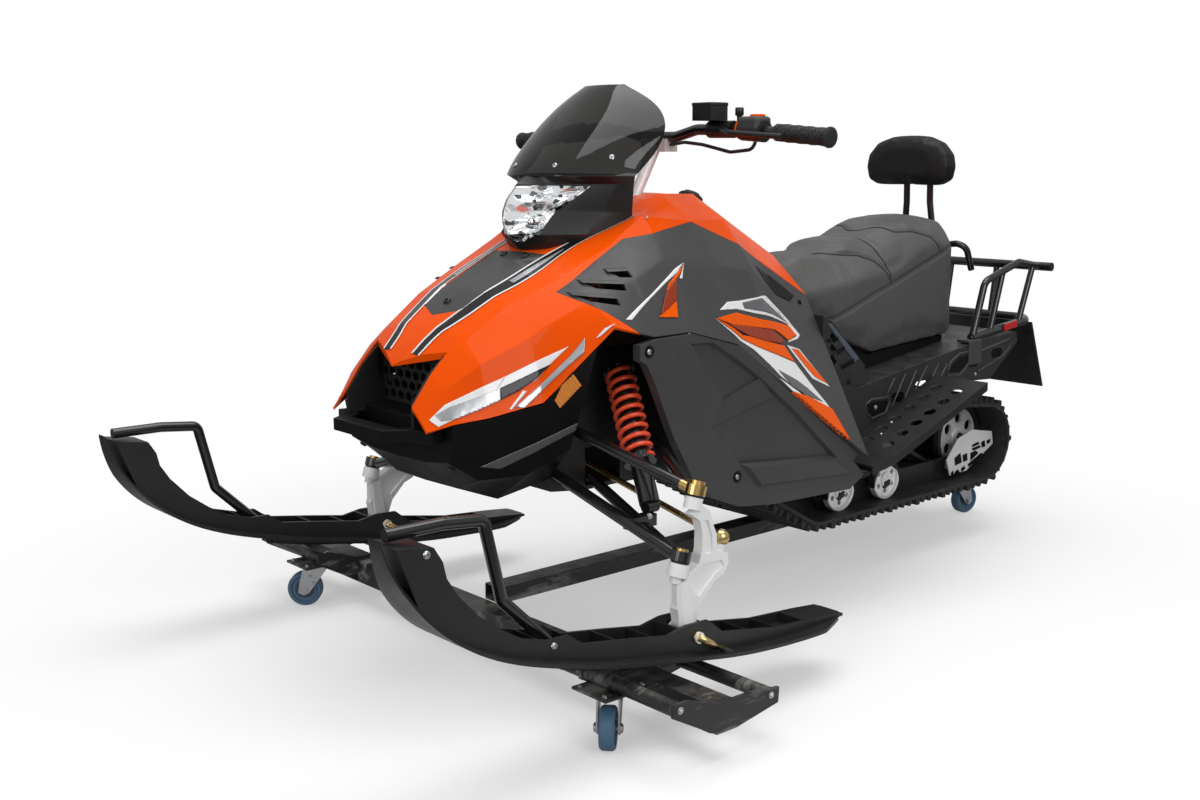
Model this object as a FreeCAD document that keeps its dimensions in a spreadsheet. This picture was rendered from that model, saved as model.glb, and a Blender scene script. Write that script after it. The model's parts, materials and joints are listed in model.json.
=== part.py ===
import FreeCAD, Part
import math
import os
from types import SimpleNamespace

from FreeCAD import Placement, Rotation, Vector

# Snowmobile on its wheeled shop dolly. Millimetres; the front points to -Y, the rider's left to +X, +Z is up.
# The origin lies on the floor, below the middle of the whole thing's box.

doc = FreeCAD.newDocument("Snowmobile")
sheet = doc.addObject("Spreadsheet::Sheet", "Sizes")

# Driving dimensions

SIZES = {
    # wheeled dolly
    "caster_wheel_diameter": 75,
    "caster_wheel_width": 28,
    "caster_bore": 10,
    "caster_trail": 25,
    "caster_height": 100,
    "caster_plate_length": 96,
    "caster_plate_width": 86,
    "caster_plate_thickness": 5,
    "caster_front_x": 484,
    "caster_front_y": -668,
    "caster_rear_y": 1030,
    "running_gap": 0.05,
    "crossbar_half_length": 651,
    "crossbar_width": 50,
    "crossbar_y": -574,
    "rail_width": 50,
    "dolly_tube_wall": 3,
    "rail_rear_y": 1078,
    "cradle_outer_x": 655,
    "cradle_inner_x": 438,
    "cradle_plate_thickness": 6,
    "cradle_tube_diameter": 25,
    "cradle_front_y": -675,
    "cradle_front_z": 113,
    "cradle_rear_y": -459,
    "cradle_rear_z": 80,
    # skis and their steering
    "ski_stance": 490,
    "ski_width": 122,
    "ski_sole": 7,
    "ski_channel": 70,
    "ski_wall": 6,
    "ski_rib": 4,
    "ski_keel_depth": 16,
    "ski_keel_width": 20,
    "pivot_diameter": 12,
    "ski_loop_diameter": 20,
    "ball_lower_y": -510,
    "ball_lower_z": 295,
    "ball_upper_y": -475,
    "ball_upper_z": 406,
    "spindle_foot_y": -503,
    "spindle_foot_z": 157,
    "stem_diameter": 22,
    "knuckle_thickness": 20,
    "boss_drop": 13,
    "barrel_length": 50,
    "tie_y": -412,
    "tie_z": 310,
    "tie_eye_height": 16,
    "tie_stud_diameter": 10,
    "arm_tube_diameter": 22,
    "upper_arm_diameter": 20,
    "tie_rod_diameter": 12,
    "spring_diameter": 52,
    "spring_wire": 9,
    "spring_turns": 9,
    # track and its suspension
    "track_width": 380,
    "belt_thickness": 8,
    "lug_height": 18,
    "lug_count": 44,
    "track_bottom": 134,
    "track_front_y": 205,
    "idler_y": 872,
    "idler_z": 250,
    "sprocket_y": 20,
    "sprocket_z": 360,
    "sprocket_radius": 88,
    "slide_x": 120,
    "slide_thickness": 8,
    "bogie_diameter": 96,
    "bogie_x": 152,
    "bogie_width": 18,
    "wheel_rim": 9,
    "idler_x": 96,
    "idler_plate_x": 146,
    "idler_plate_thickness": 4,
    "sprocket_x": 60,
    # chassis
    "tunnel_width": 410,
    "tunnel_sheet": 4,
    "tunnel_window_length": 26,
    "tunnel_window_height": 24,
    "board_outer_x": 352,
    "board_thickness": 4,
    "board_hole_pitch": 50,
    "board_hole_diameter": 27,
    "board_lip": 20,
    "panel_thickness": 5,
    "lower_panel_x": 318,
    "lower_panel_depth": 20,
    "panel_recess": 9,
    "panel_step": 9,
    "louvre_lip": 5,
    "rack_tube_diameter": 22,
    "mud_flap_width": 380,
    "rear_end_y": 1117,
    "post_diameter": 16,
    "backrest_rear_y": 792,
    "seat_base_half_width": 118,
    # steering
    "column_rake": 30,
    "column_diameter": 24,
    "clamp_y": -98,
    "clamp_z": 1006,
    "bar_diameter": 22,
    "grip_diameter": 33,
    "grip_length": 125,
    "bar_half_length": 412,
    "screen_thickness": 4,
    "clamp_block_width": 70,
    "cable_diameter": 7,
    "switch_diameter": 42,
    "cap_diameter": 54,
    "cap_y": -12,
    "reflector_thickness": 4,
    "bumper_low": 476,
    "bumper_height": 22,
    "bumper_floor": 5,
    "brow_thickness": 7,
    "grille_y": -716,
}

for line, (name, value) in enumerate(SIZES.items(), start=1):
    sheet.set(f"A{line}", name)
    sheet.set(f"B{line}", str(value))
    sheet.setAlias(f"B{line}", name)
doc.recompute()

S = SimpleNamespace(**SIZES)

# Places that several pieces share

FIT = 0.3
SUBFRAME_X = 156
FIREWALL_Y = -100
SUBFRAME_FLOOR = 343


# Helpers: every sub-part ends as one labelled object of the document

subparts = []


def keep(thing, label):
    thing.Label = label
    subparts.append(thing)
    return thing


def feature(label, shape, placement=None):
    thing = doc.addObject("Part::Feature", label)
    thing.Shape = shape
    if placement is not None:
        thing.Placement = placement
    return keep(thing, label)


def origin_plane(body, role):
    return next(plane for plane in body.Origin.OriginFeatures if plane.Role == role)


def add_lines(outline, points):
    closed = points + points[:1]
    for start, end in zip(closed, closed[1:]):
        outline.addGeometry(Part.LineSegment(Vector(*start, 0), Vector(*end, 0)), False)


def sketch(body, role, points, offset=0.0):
    """A closed outline of straight lines on one of the body's own origin planes."""
    outline = body.newObject("Sketcher::SketchObject", "Outline")
    outline.AttachmentSupport = [(origin_plane(body, role), "")]
    outline.MapMode = "FlatFace"
    outline.AttachmentOffset = Placement(Vector(0, 0, offset), Rotation())
    add_lines(outline, points)
    return outline


def add_circles(outline, circles):
    """Adds (across, up, radius) circles to a sketch."""
    for across, up, radius in circles:
        outline.addGeometry(Part.Circle(Vector(across, up, 0), Vector(0, 0, 1), radius), False)


def add_slot(outline, across, up, length, radius):
    """Adds a round ended slot that lies along the sketch's first axis."""
    left, right = across - length / 2, across + length / 2
    outline.addGeometry(Part.LineSegment(Vector(left, up - radius, 0), Vector(right, up - radius, 0)), False)
    outline.addGeometry(Part.LineSegment(Vector(right, up + radius, 0), Vector(left, up + radius, 0)), False)
    for centre, start in ((right, -math.pi / 2), (left, math.pi / 2)):
        circle = Part.Circle(Vector(centre, up, 0), Vector(0, 0, 1), radius)
        outline.addGeometry(Part.ArcOfCircle(circle, start, start + math.pi), False)


def pad(body, profile, length, both_ways=True):
    """length is a number or the text of an expression on the sheet."""
    block = body.newObject("PartDesign::Pad", "Pad")
    block.Profile = profile
    block.SideType = "Symmetric" if both_ways else "One side"
    if isinstance(length, str):
        block.setExpression("Length", length)
    else:
        block.Length = length
    return block


def pocket_through(body, profile):
    cut = body.newObject("PartDesign::Pocket", "Pocket")
    cut.Profile = profile
    cut.SideType = "Symmetric"
    cut.Type = "ThroughAll"
    return cut


def pattern_along(body, cut, outline, axis, length, count):
    """Repeats a cut in a straight row along one of its sketch's axes."""
    row = body.newObject("PartDesign::LinearPattern", "Row")
    row.Originals = [cut]
    row.Direction = (outline, [axis])
    row.Length = length
    row.Occurrences = count
    body.Tip = row
    return row


def pattern_round(body, cut, outline, count):
    """Repeats a cut in a ring about its sketch's normal."""
    ring = body.newObject("PartDesign::PolarPattern", "Ring")
    ring.Originals = [cut]
    ring.Axis = (outline, ["N_Axis"])
    ring.Angle = 360
    ring.Occurrences = count
    body.Tip = ring
    return ring


def with_mirror(thing, label):
    """A node of the piece and its mirror image on the other side."""
    other = doc.addObject("Part::Mirroring", label + "_other_side")
    other.Source = thing
    other.Normal = (1, 0, 0)
    node = doc.addObject("Part::Compound", label)
    node.Links = [thing, other]
    return keep(node, label)


def together(things, label):
    node = doc.addObject("Part::Compound", label)
    node.Links = things
    return keep(node, label)


def new_body(name, placement=None):
    body = doc.addObject("PartDesign::Body", name)
    if placement is not None:
        body.Placement = placement
    return body


def revolve(body, points, role="XZ_Plane"):
    """Turns an outline about the sketch's own upright axis."""
    outline = sketch(body, role, points)
    turned = body.newObject("PartDesign::Revolution", "Turned")
    turned.Profile = outline
    turned.ReferenceAxis = (outline, ["V_Axis"])
    turned.Angle = 360
    return turned


def rod(start, end, diameter):
    way = end - start
    return Part.makeCylinder(diameter / 2, way.Length, start, way)


def bent_tube(points, diameter, bend):
    """A round tube along straight runs joined by tangent arcs of the radius bend, less where a run is short."""
    edges = []
    here = points[0]
    for before, corner, after in zip(points, points[1:], points[2:]):
        back = (before - corner).normalize()
        on = (after - corner).normalize()
        half_turn = (math.pi - back.getAngle(on)) / 2
        room = 0.45 * min((before - corner).Length, (after - corner).Length)
        setback = min(bend * math.tan(half_turn), room)
        radius = setback / math.tan(half_turn)
        middle_way = (back + on).normalize()
        middle = corner + middle_way * (radius / math.cos(half_turn) - radius)
        enter = corner + back * setback
        leave = corner + on * setback
        edges.append(Part.LineSegment(here, enter).toShape())
        edges.append(Part.Arc(enter, middle, leave).toShape())
        here = leave
    edges.append(Part.LineSegment(here, points[-1]).toShape())
    path = Part.Wire(edges)
    ring = Part.Wire([Part.Circle(points[0], points[1] - points[0], diameter / 2).toShape()])
    return path.makePipeShell([ring], True, False)


def mirrored(shape):
    return shape.mirror(Vector(0, 0, 0), Vector(1, 0, 0))


def both_sides(shape):
    return Part.makeCompound([shape, mirrored(shape)])


def polygon_wire(points):
    return Part.makePolygon(list(points) + [points[0]])


def side_prism(outline, low_x, high_x):
    """Everything inside a side view outline of (y, z) points, from low_x to high_x."""
    face = Part.Face(polygon_wire([Vector(low_x, y, z) for y, z in outline]))
    return face.extrude(Vector(high_x - low_x, 0, 0))


def front_prism(outline, low_y, high_y):
    face = Part.Face(polygon_wire([Vector(x, low_y, z) for x, z in outline]))
    return face.extrude(Vector(0, high_y - low_y, 0))


def top_prism(outline, low_z, high_z):
    face = Part.Face(polygon_wire([Vector(x, y, low_z) for x, y in outline]))
    return face.extrude(Vector(0, 0, high_z - low_z))


def fuse(shapes):
    first, *rest = shapes
    return first.multiFuse(rest).removeSplitter() if rest else first


# Dolly: a crossbar under the skis, a rail under the track, three swivel casters and two ski cradles

plate_top = S.caster_height
crossbar_low = plate_top - S.crossbar_width
rail_top = S.track_bottom - 0.8
rail_low = S.caster_height
rail_front_y = S.crossbar_y + S.crossbar_width / 2
swivel_top = S.caster_height - S.caster_plate_thickness
fork_top = swivel_top - 6


def box_outline(width, height, wall=0.0):
    half = width / 2 - wall
    return [(-half, wall), (half, wall), (half, height - wall), (-half, height - wall)]


def box_tube(label, place, role, width, height, length):
    """A rectangular tube, open at its ends, with its underside on the body's origin."""
    body = new_body(label, Placement(place, Rotation()))
    outline = sketch(body, role, box_outline(width, height))
    add_lines(outline, box_outline(width, height, S.dolly_tube_wall))
    pad(body, outline, length)
    return keep(body, label)


def ski_cradle():
    """Two round tubes between two V shaped plates, which hang on the crossbar's end."""
    radius = S.cradle_tube_diameter / 2
    low_y = S.crossbar_y - 20
    outline = [
        (S.cradle_front_y - 18, S.cradle_front_z - 8),
        (low_y, crossbar_low),
        (low_y + 45, crossbar_low),
        (S.cradle_rear_y + 12, S.cradle_rear_z - 14),
        (S.cradle_rear_y + 14, S.cradle_rear_z + 13),
        (S.crossbar_y + 60, plate_top + 2),
        (S.crossbar_y - 20, plate_top + 4),
        (S.cradle_front_y + 14, S.cradle_front_z + 14),
        (S.cradle_front_y - 16, S.cradle_front_z + 14),
    ]
    outer = side_prism(outline, S.cradle_outer_x, S.cradle_outer_x + S.cradle_plate_thickness)
    inner = side_prism(outline, S.cradle_inner_x - S.cradle_plate_thickness, S.cradle_inner_x)
    bar = Part.makeBox(
        S.cradle_plate_thickness + 2, S.crossbar_width, S.crossbar_width,
        Vector(S.cradle_inner_x - S.cradle_plate_thickness - 1, S.crossbar_y - S.crossbar_width / 2, crossbar_low),
    )
    pieces = [outer, inner.cut(bar)]
    for y, z in ((S.cradle_front_y, S.cradle_front_z), (S.cradle_rear_y, S.cradle_rear_z)):
        pieces.append(rod(Vector(S.cradle_inner_x - 6, y, z), Vector(S.cradle_outer_x + 6, y, z), 2 * radius))
    return fuse(pieces)


def caster_plate(label, x, front_y, rear_y):
    """A plate under the dolly with the caster's four bolts, their heads below it."""
    middle_y = (front_y + rear_y) / 2
    body = new_body(label, Placement(Vector(x, middle_y, swivel_top), Rotation()))
    half_width = S.caster_plate_width / 2
    half_length = (rear_y - front_y) / 2
    outline = sketch(body, "XY_Plane", [
        (-half_width, -half_length), (half_width, -half_length), (half_width, half_length), (-half_width, half_length),
    ])
    pad(body, outline, "Sizes.caster_plate_thickness", both_ways=False)
    return body


CASTERS = {
    "left": (Vector(S.caster_front_x, S.caster_front_y, 0), -48),
    "right": (Vector(-S.caster_front_x, S.caster_front_y, 0), 228),
    "rear": (Vector(0, S.caster_rear_y, 0), 80),
}


def caster_fork_shape():
    """In its own frame the swivel axis is Z, and the wheel trails along +X with its axle along Y."""
    inside = S.caster_wheel_width / 2 + 3
    cheek = 3
    axle_z = S.caster_wheel_diameter / 2
    top = fork_top
    outline = [
        (-24, top), (-22, top - 10), (S.caster_trail - 12, axle_z - 6), (S.caster_trail, axle_z - 12),
        (S.caster_trail + 12, axle_z - 6), (S.caster_trail + 8, axle_z + 20), (24, top),
    ]
    cheeks = []
    for side in (-1, 1):
        low = side * inside
        wire = polygon_wire([Vector(x, low, z) for x, z in outline])
        cheeks.append(Part.Face(wire).extrude(Vector(0, side * cheek, 0)))
    crown = Part.makeBox(48, 2 * (inside + cheek), 3, Vector(-24, -inside - cheek, top - 3))
    race = Part.makeCylinder(20, swivel_top - top - S.running_gap * 6, Vector(0, 0, top))
    axle = Part.makeCylinder(
        S.caster_bore / 2, 2 * (inside + cheek) + 10, Vector(S.caster_trail, -inside - cheek - 5, axle_z), Vector(0, 1, 0))
    nuts = [
        Part.makeCylinder(8, 4, Vector(S.caster_trail, side * (inside + cheek + 2) - 2, axle_z), Vector(0, 1, 0))
        for side in (-1, 1)
    ]
    return fuse(cheeks + [crown, race, axle] + nuts)


def caster_wheel(side, place, turn):
    """Tyre and hub as one turned solid with a bore that runs on the fork's axle."""
    trail = Rotation(Vector(0, 0, 1), turn).multVec(Vector(S.caster_trail, 0, 0))
    centre = place + trail + Vector(0, 0, S.caster_wheel_diameter / 2)
    body = new_body(f"caster_wheel_{side}", Placement(centre, Rotation(Vector(0, 0, 1), turn) * Rotation(Vector(1, 0, 0), 90)))
    half = S.caster_wheel_width / 2
    rim = S.caster_wheel_diameter / 2
    bore = S.caster_bore / 2 + S.running_gap
    profile = [
        (bore, -half), (11, -half), (13, -half + 5), (rim - 10, -half + 5), (rim - 8, -half + 1), (rim - 3, -half + 1),
        (rim, -half + 5), (rim, half - 5), (rim - 3, half - 1), (rim - 8, half - 1), (rim - 10, half - 5),
        (13, half - 5), (11, half), (bore, half),
    ]
    revolve(body, profile)
    keep(body, f"caster_wheel_{side}")


# Skis: a moulded black runner with side walls and a keel, a bent tube loop at the front, and a cast spindle


SOLE = [(-1117, 433), (-1063, 319), (-1001, 264), (-941, 231), (-879, 207), (-786, 180), (-674, 153), (-587, 138),
        (-439, 112), (-281, 98), (-179, 97), (-110, 104)]


SKI_TOP = [(-1105, 431), (-1040, 421), (-1025, 397), (-1019, 371), (-1000, 341), (-962, 300), (-922, 270), (-882, 246),
           (-830, 231), (-790, 230), (-760, 208), (-655, 191), (-575, 177), (-530, 184), (-478, 182), (-440, 152),
           (-300, 127), (-180, 118), (-112, 111)]
SKI_RIBS = [-1012, -925, -850, -770, -690, -610, -545, -455, -380, -300, -220]


def sole_curve(lift, points=SOLE):
    curve = Part.BSplineCurve()
    curve.interpolate([Vector(0, y, z + lift) for y, z in points])
    return curve


def band(low, high, half_width):
    """The space between two side view curves, half_width to each side of the middle plane."""
    edges = [
        low.toShape(), Part.LineSegment(low.EndPoint, high.EndPoint).toShape(),
        high.toShape(), Part.LineSegment(low.StartPoint, high.StartPoint).toShape(),
    ]
    block = Part.Face(Part.Wire(edges)).extrude(Vector(2 * half_width, 0, 0))
    block.translate(Vector(-half_width, 0, 0))
    return block


def ski_shape():
    """A wide flat sole that curves up to its tip, a narrower upright channel with cross ribs on it, and a keel under it."""
    half = S.ski_width / 2
    plan = top_prism([
        (-16, -1117), (16, -1117), (40, -1085), (half, -1010), (half, -190), (40, -130), (22, -108), (-22, -108),
        (-40, -130), (-half, -190), (-half, -1010), (-40, -1085),
    ], 0, 600)
    sole = band(sole_curve(0), sole_curve(S.ski_sole), half).common(plan)
    wall_half = S.ski_channel / 2
    under = [(y, z + 2) for y, z in SOLE[1:]]
    channel = side_prism(SKI_TOP + under[::-1], -wall_half, wall_half)
    hollow = []
    for start, end in zip(SKI_RIBS, SKI_RIBS[1:]):
        low, high = start + S.ski_rib / 2, end - S.ski_rib / 2
        hollow.append(Part.makeBox(2 * (wall_half - S.ski_wall), high - low, 600, Vector(-wall_half + S.ski_wall, low, 0)))
    above_floor = band(sole_curve(S.ski_sole), sole_curve(200), half)
    channel = channel.cut(Part.makeCompound(hollow).common(above_floor))
    keel_line = SOLE[5:-1]
    keel = band(sole_curve(-S.ski_keel_depth, keel_line), sole_curve(2, keel_line), S.ski_keel_width / 2)
    bore = rod(Vector(-60, S.spindle_foot_y, S.spindle_foot_z), Vector(60, S.spindle_foot_y, S.spindle_foot_z),
               S.pivot_diameter + 2 * S.running_gap)
    whole = fuse([sole, channel, keel]).cut(bore)
    whole.translate(Vector(S.ski_stance, 0, 0))
    return whole


def ski_loop_shape():
    x = S.ski_stance - 4
    seat_z = 431 + S.ski_loop_diameter / 2 + FIT
    path = [
        Vector(x, -1098, seat_z), Vector(x, -1000, 441), Vector(x, -924, 433), Vector(x, -892, 300), Vector(x, -800, 210),
        Vector(x, -800, 175),
    ]
    floor = band(sole_curve(-60), sole_curve(S.ski_sole + FIT), S.ski_width)
    floor.translate(Vector(x, 0, 0))
    return bent_tube(path, S.ski_loop_diameter, 15).cut(floor)


TIE = Vector(S.ski_stance, S.tie_y, S.tie_z)


def steering_way():
    """Direction of the line through a spindle's two ball joints."""
    return Vector(0, S.ball_upper_y - S.ball_lower_y, S.ball_upper_z - S.ball_lower_z).normalize()


def octagon(centre, way, half_x, half_y):
    """An eight sided section across way, with its corners cut by a third."""
    across = Vector(1, 0, 0)
    along = way.cross(across).normalize()
    corners = [(1, -0.6), (1, 0.6), (0.6, 1), (-0.6, 1), (-1, 0.6), (-1, -0.6), (-0.6, -1), (0.6, -1)]
    return polygon_wire([centre + across * (a * half_x) + along * (b * half_y) for a, b in corners])


# Side view of the cast knuckle behind the two ball joints, and of its two sunk fields, as (y, z)
KNUCKLE = [
    (-494, 366), (-466, 378), (-450, 366), (-441, 338), (-433, 322), (-432, 291), (-405, 284), (-402, 262), (-414, 246), (-437, 237),
    (-470, 203), (-487, 160), (-519, 160), (-527, 205), (-512, 240), (-500, 262), (-476, 276), (-469, 300), (-468, 330), (-474, 352),
]
KNUCKLE_FIELDS = [
    [(-463, 352), (-454, 350), (-443, 322), (-442, 290), (-460, 290), (-459, 330)],
    [(-466, 274), (-418, 272), (-413, 260), (-436, 249), (-474, 216), (-500, 243), (-494, 256)],
]


def spindle_shape():
    """Cast knuckle that bows out behind the two ball joints, with a tapered leg down to the ski's pivot."""
    x = S.ski_stance
    ball_low = Vector(x, S.ball_lower_y, S.ball_lower_z)
    ball_high = Vector(x, S.ball_upper_y, S.ball_upper_z)
    foot = Vector(x, S.spindle_foot_y, S.spindle_foot_z)
    way = steering_way()
    half = S.knuckle_thickness / 2
    knuckle = side_prism(KNUCKLE, x - half, x + half)
    for outline in KNUCKLE_FIELDS:
        knuckle = knuckle.cut(side_prism(outline, x + half - 5, x + half + 1)).cut(side_prism(outline, x - half - 1, x - half + 5))
    pins = [
        rod(ball_low - way * 30, ball_low + way * 13, S.stem_diameter),
        rod(ball_low - way * 36, ball_low - way * S.boss_drop, 36),
        rod(ball_low - way * 48, ball_low - way * 34, 20),
        rod(ball_high - way * 30, ball_high + way * 14, S.stem_diameter),
        rod(ball_high - way * 34, ball_high - way * S.boss_drop, 32),
        rod(ball_high + way * 10, ball_high + way * 16, S.stem_diameter + 5),
    ]
    hip = Vector(x, -510, 252)
    down = (foot - hip).normalize()
    length = (foot - hip).Length
    sections = [(0, 10, 16), (0.5, 12, 19), (0.8, 16, 19), (1, 19, 15)]
    leg = Part.makeLoft([octagon(hip + down * (share * length), down, a, b) for share, a, b in sections], True, True)
    barrel = rod(foot - Vector(S.barrel_length / 2, 0, 0), foot + Vector(S.barrel_length / 2, 0, 0), 32)
    bolt = rod(foot - Vector(41, 0, 0), foot + Vector(41, 0, 0), S.pivot_diameter)
    heads = [rod(foot + Vector(side * (S.ski_channel / 2 + FIT), 0, 0), foot + Vector(side * 42, 0, 0), 20) for side in (-1, 1)]
    boss = rod(TIE - way * 34, TIE - way * (S.tie_eye_height / 2 + FIT), 20)
    stud = rod(TIE - way * 12, TIE + way * (S.tie_eye_height / 2 + 6), S.tie_stud_diameter)
    return fuse([knuckle, leg, barrel, bolt, boss, stud] + pins + heads)


# Front suspension


def arm_shapes():
    """Two A shaped arms a side, from the spindle's ball joints to the subframe's side plate."""
    root_x = SUBFRAME_X + FIT
    ball = Vector(S.ski_stance - 16, S.ball_lower_y, S.ball_lower_z)
    lower = fuse([
        rod(ball, Vector(root_x, -513, 380), S.arm_tube_diameter),
        rod(ball, Vector(root_x, -425, 360), S.arm_tube_diameter),
    ])
    ball = Vector(S.ski_stance - 16, S.ball_upper_y, S.ball_upper_z)
    upper = fuse([
        rod(ball, Vector(root_x, -508, 480), S.upper_arm_diameter),
        rod(ball, Vector(root_x, -296, 452), S.upper_arm_diameter),
    ])
    trim = Part.makeBox(60, 400, 400, Vector(root_x - 60, -600, 300))
    way = steering_way()
    seats = []
    for height, legs in ((S.ball_lower_z, lower), (S.ball_upper_z, upper)):
        y = S.ball_lower_y if legs is lower else S.ball_upper_y
        middle = Vector(S.ski_stance, y, height)
        eye = rod(middle - way * 9, middle + way * 9, 36)
        pin_room = rod(middle - way * 30, middle + way * 30, S.stem_diameter + 2 * S.running_gap)
        seats.append(fuse([legs, eye]).cut(trim).cut(pin_room))
    lower, upper = seats
    saddle = Part.makeBox(22, 62, 22, Vector(shock_foot.x - 11, -518, shock_foot.z - 12 - FIT - 22))
    return fuse([lower, saddle]), upper


shock_foot = Vector(362, -462, 350)
shock_head = Vector(200, -394, 578)


def shock_parts():
    foot = shock_foot
    head = shock_head
    way = (head - foot).normalize()
    spring_low = foot + way * 90
    spring_high = head - way * 12
    length = (spring_high - spring_low).Length
    lower_tube = rod(foot + way * 4, spring_low, 38)
    body = rod(spring_low - way * 5, head, 34)
    eyes = [Part.makeCylinder(12, 26, end - Vector(0, 13, 0), Vector(0, 1, 0)) for end in (foot, head)]
    collar = S.spring_diameter + S.spring_wire
    seats = [rod(spring_low - way * 5, spring_low - way * FIT, collar), rod(spring_high + way * FIT, spring_high + way * 4, collar)]
    shock = fuse([lower_tube, body] + eyes + seats)
    pitch = (length - S.spring_wire) / S.spring_turns
    coil = Part.makeHelix(pitch, pitch * S.spring_turns, S.spring_diameter / 2)
    ring = Part.Wire([Part.Circle(Vector(S.spring_diameter / 2, 0, 0), Vector(0, 1, 0), S.spring_wire / 2).toShape()])
    spring = Part.Wire(coil).makePipeShell([ring], True, True)
    spring.Placement = Placement(spring_low + way * S.spring_wire / 2, Rotation(Vector(0, 0, 1), way))
    return shock, spring


def tie_rod_shape():
    """Rod with an eye on the steering arm's stud, open at the steering column."""
    way = steering_way()
    half_height = S.tie_eye_height / 2
    eye = rod(TIE - way * half_height, TIE + way * half_height, 26)
    bore = rod(TIE - way * 20, TIE + way * 20, S.tie_stud_diameter + 2 * S.running_gap)
    inner = Vector(27, -386, 388)
    sleeve_end = TIE + (inner - TIE).normalize() * 60
    return fuse([rod(TIE, inner, S.tie_rod_diameter), rod(TIE, sleeve_end, 16), eye]).cut(bore)


def subframe_shape():
    """Front frame: two side plates with a floor, a nose plate and a firewall, which the arms and the engine bolt to."""
    sheet_metal = 5
    side_line = [
        (-524.5, 500), (-524.5, 348), (-440, 338), (FIREWALL_Y, 338), (FIREWALL_Y, 560), (-250, 610), (-340, 612), (-430, 606), (-470, 520),
    ]
    plate = side_prism(side_line, SUBFRAME_X - sheet_metal, SUBFRAME_X)
    window = side_prism([(-440, 346), (-350, 346), (-350, 420), (-440, 420)], 100, 200)
    plate = plate.cut(window)
    tower = rod(Vector(SUBFRAME_X - 2, shock_head.y, shock_head.z), Vector(shock_head.x - 17 - FIT, shock_head.y, shock_head.z), 20)
    floor = Part.makeBox(2 * SUBFRAME_X, FIREWALL_Y + 440, sheet_metal, Vector(-SUBFRAME_X, -440, SUBFRAME_FLOOR - sheet_metal))
    nose = Part.makeBox(2 * SUBFRAME_X, sheet_metal, 150, Vector(-SUBFRAME_X, -524.5, 348))
    firewall = Part.makeBox(S.tunnel_width, sheet_metal, 222, Vector(-S.tunnel_width / 2, FIREWALL_Y - sheet_metal, 338))
    bearing = clamp - column_way * 560
    cross_bar = Part.makeBox(2 * SUBFRAME_X - 2, 46, 36, Vector(-SUBFRAME_X + 1, bearing.y - 23, bearing.z - 18))
    column_bore = rod(clamp - column_way * 700, clamp, S.column_diameter + 2 * S.running_gap)
    return fuse([plate, mirrored(plate), tower, mirrored(tower), floor, nose, firewall, cross_bar]).cut(column_bore)


# Track, slide rails and wheels


def belt_outline(extra):
    """Closed loop of the belt's line, moved outwards by extra, as a list of edges in the YZ plane."""
    low = S.track_bottom + S.lug_height - extra
    rear = Vector(0, S.idler_y, S.idler_z)
    r_rear = S.idler_z - low
    front = Vector(0, S.sprocket_y, S.sprocket_z)
    r_front = S.sprocket_radius + extra
    toe = Vector(0, S.track_front_y + 20, low + 60)
    r_toe = 60
    return rear, r_rear, front, r_front, toe, r_toe, low


def tangent(centre_a, radius_a, centre_b, radius_b, side):
    """Ends of the outer tangent of two circles in the YZ plane, on the left (1) or right (-1) of a to b."""
    way = centre_b - centre_a
    length = way.Length
    way.normalize()
    left = Vector(0, -way.z, way.y)
    sine = (radius_a - radius_b) / length
    cosine = math.sqrt(1 - sine * sine)
    normal = way * sine + left * (side * cosine)
    return centre_a + normal * radius_a, centre_b + normal * radius_b, normal


def loop_wire(extra):
    rear, r_rear, front, r_front, toe, r_toe, low = belt_outline(extra)
    circles = [(toe, r_toe + extra), (rear, r_rear), (front, r_front)]
    toe_now = Vector(0, toe.y, low + r_toe + extra)
    circles[0] = (toe_now, r_toe + extra)
    tangents = []
    for (ca, ra), (cb, rb) in zip(circles, circles[1:] + circles[:1]):
        tangents.append(tangent(ca, ra, cb, rb, -1))
    edges = []
    for number, (start, end, normal) in enumerate(tangents):
        edges.append(Part.LineSegment(start, end).toShape())
        centre, radius = circles[(number + 1) % 3]
        next_start, _, next_normal = tangents[(number + 1) % 3]
        middle = centre + (normal + next_normal).normalize() * radius
        edges.append(Part.Arc(end, middle, next_start).toShape())
    return Part.Wire(edges)


def track_shape():
    half = S.track_width / 2
    outer = Part.Face(loop_wire(0))
    inner = Part.Face(loop_wire(-S.belt_thickness))
    belt = outer.cut(inner).extrude(Vector(S.track_width, 0, 0))
    belt.translate(Vector(-half, 0, 0))
    line = loop_wire(0)
    places = line.discretize(Number=int(S.lug_count) + 1)[:-1]
    lugs = []
    third = S.track_width / 3
    for number, (here, on) in enumerate(zip(places, places[1:] + places[:1])):
        way = (on - here).normalize()
        out = Vector(0, way.z, -way.y)
        root = here - out * 3
        tip = here + out * S.lug_height
        foot_half = 11
        tip_half = 5
        section = [root - way * foot_half, root + way * foot_half, tip + way * tip_half, tip - way * tip_half]
        spans = ((-half + 6, third - 12), (half - third + 6, third - 12)) if number % 2 else ((-third / 2 - 30, third + 60),)
        for low_x, width in spans:
            face = Part.Face(polygon_wire([Vector(low_x, p.y, p.z) for p in section]))
            lugs.append(face.extrude(Vector(width, 0, 0)))
    return belt.multiFuse(lugs)


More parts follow.
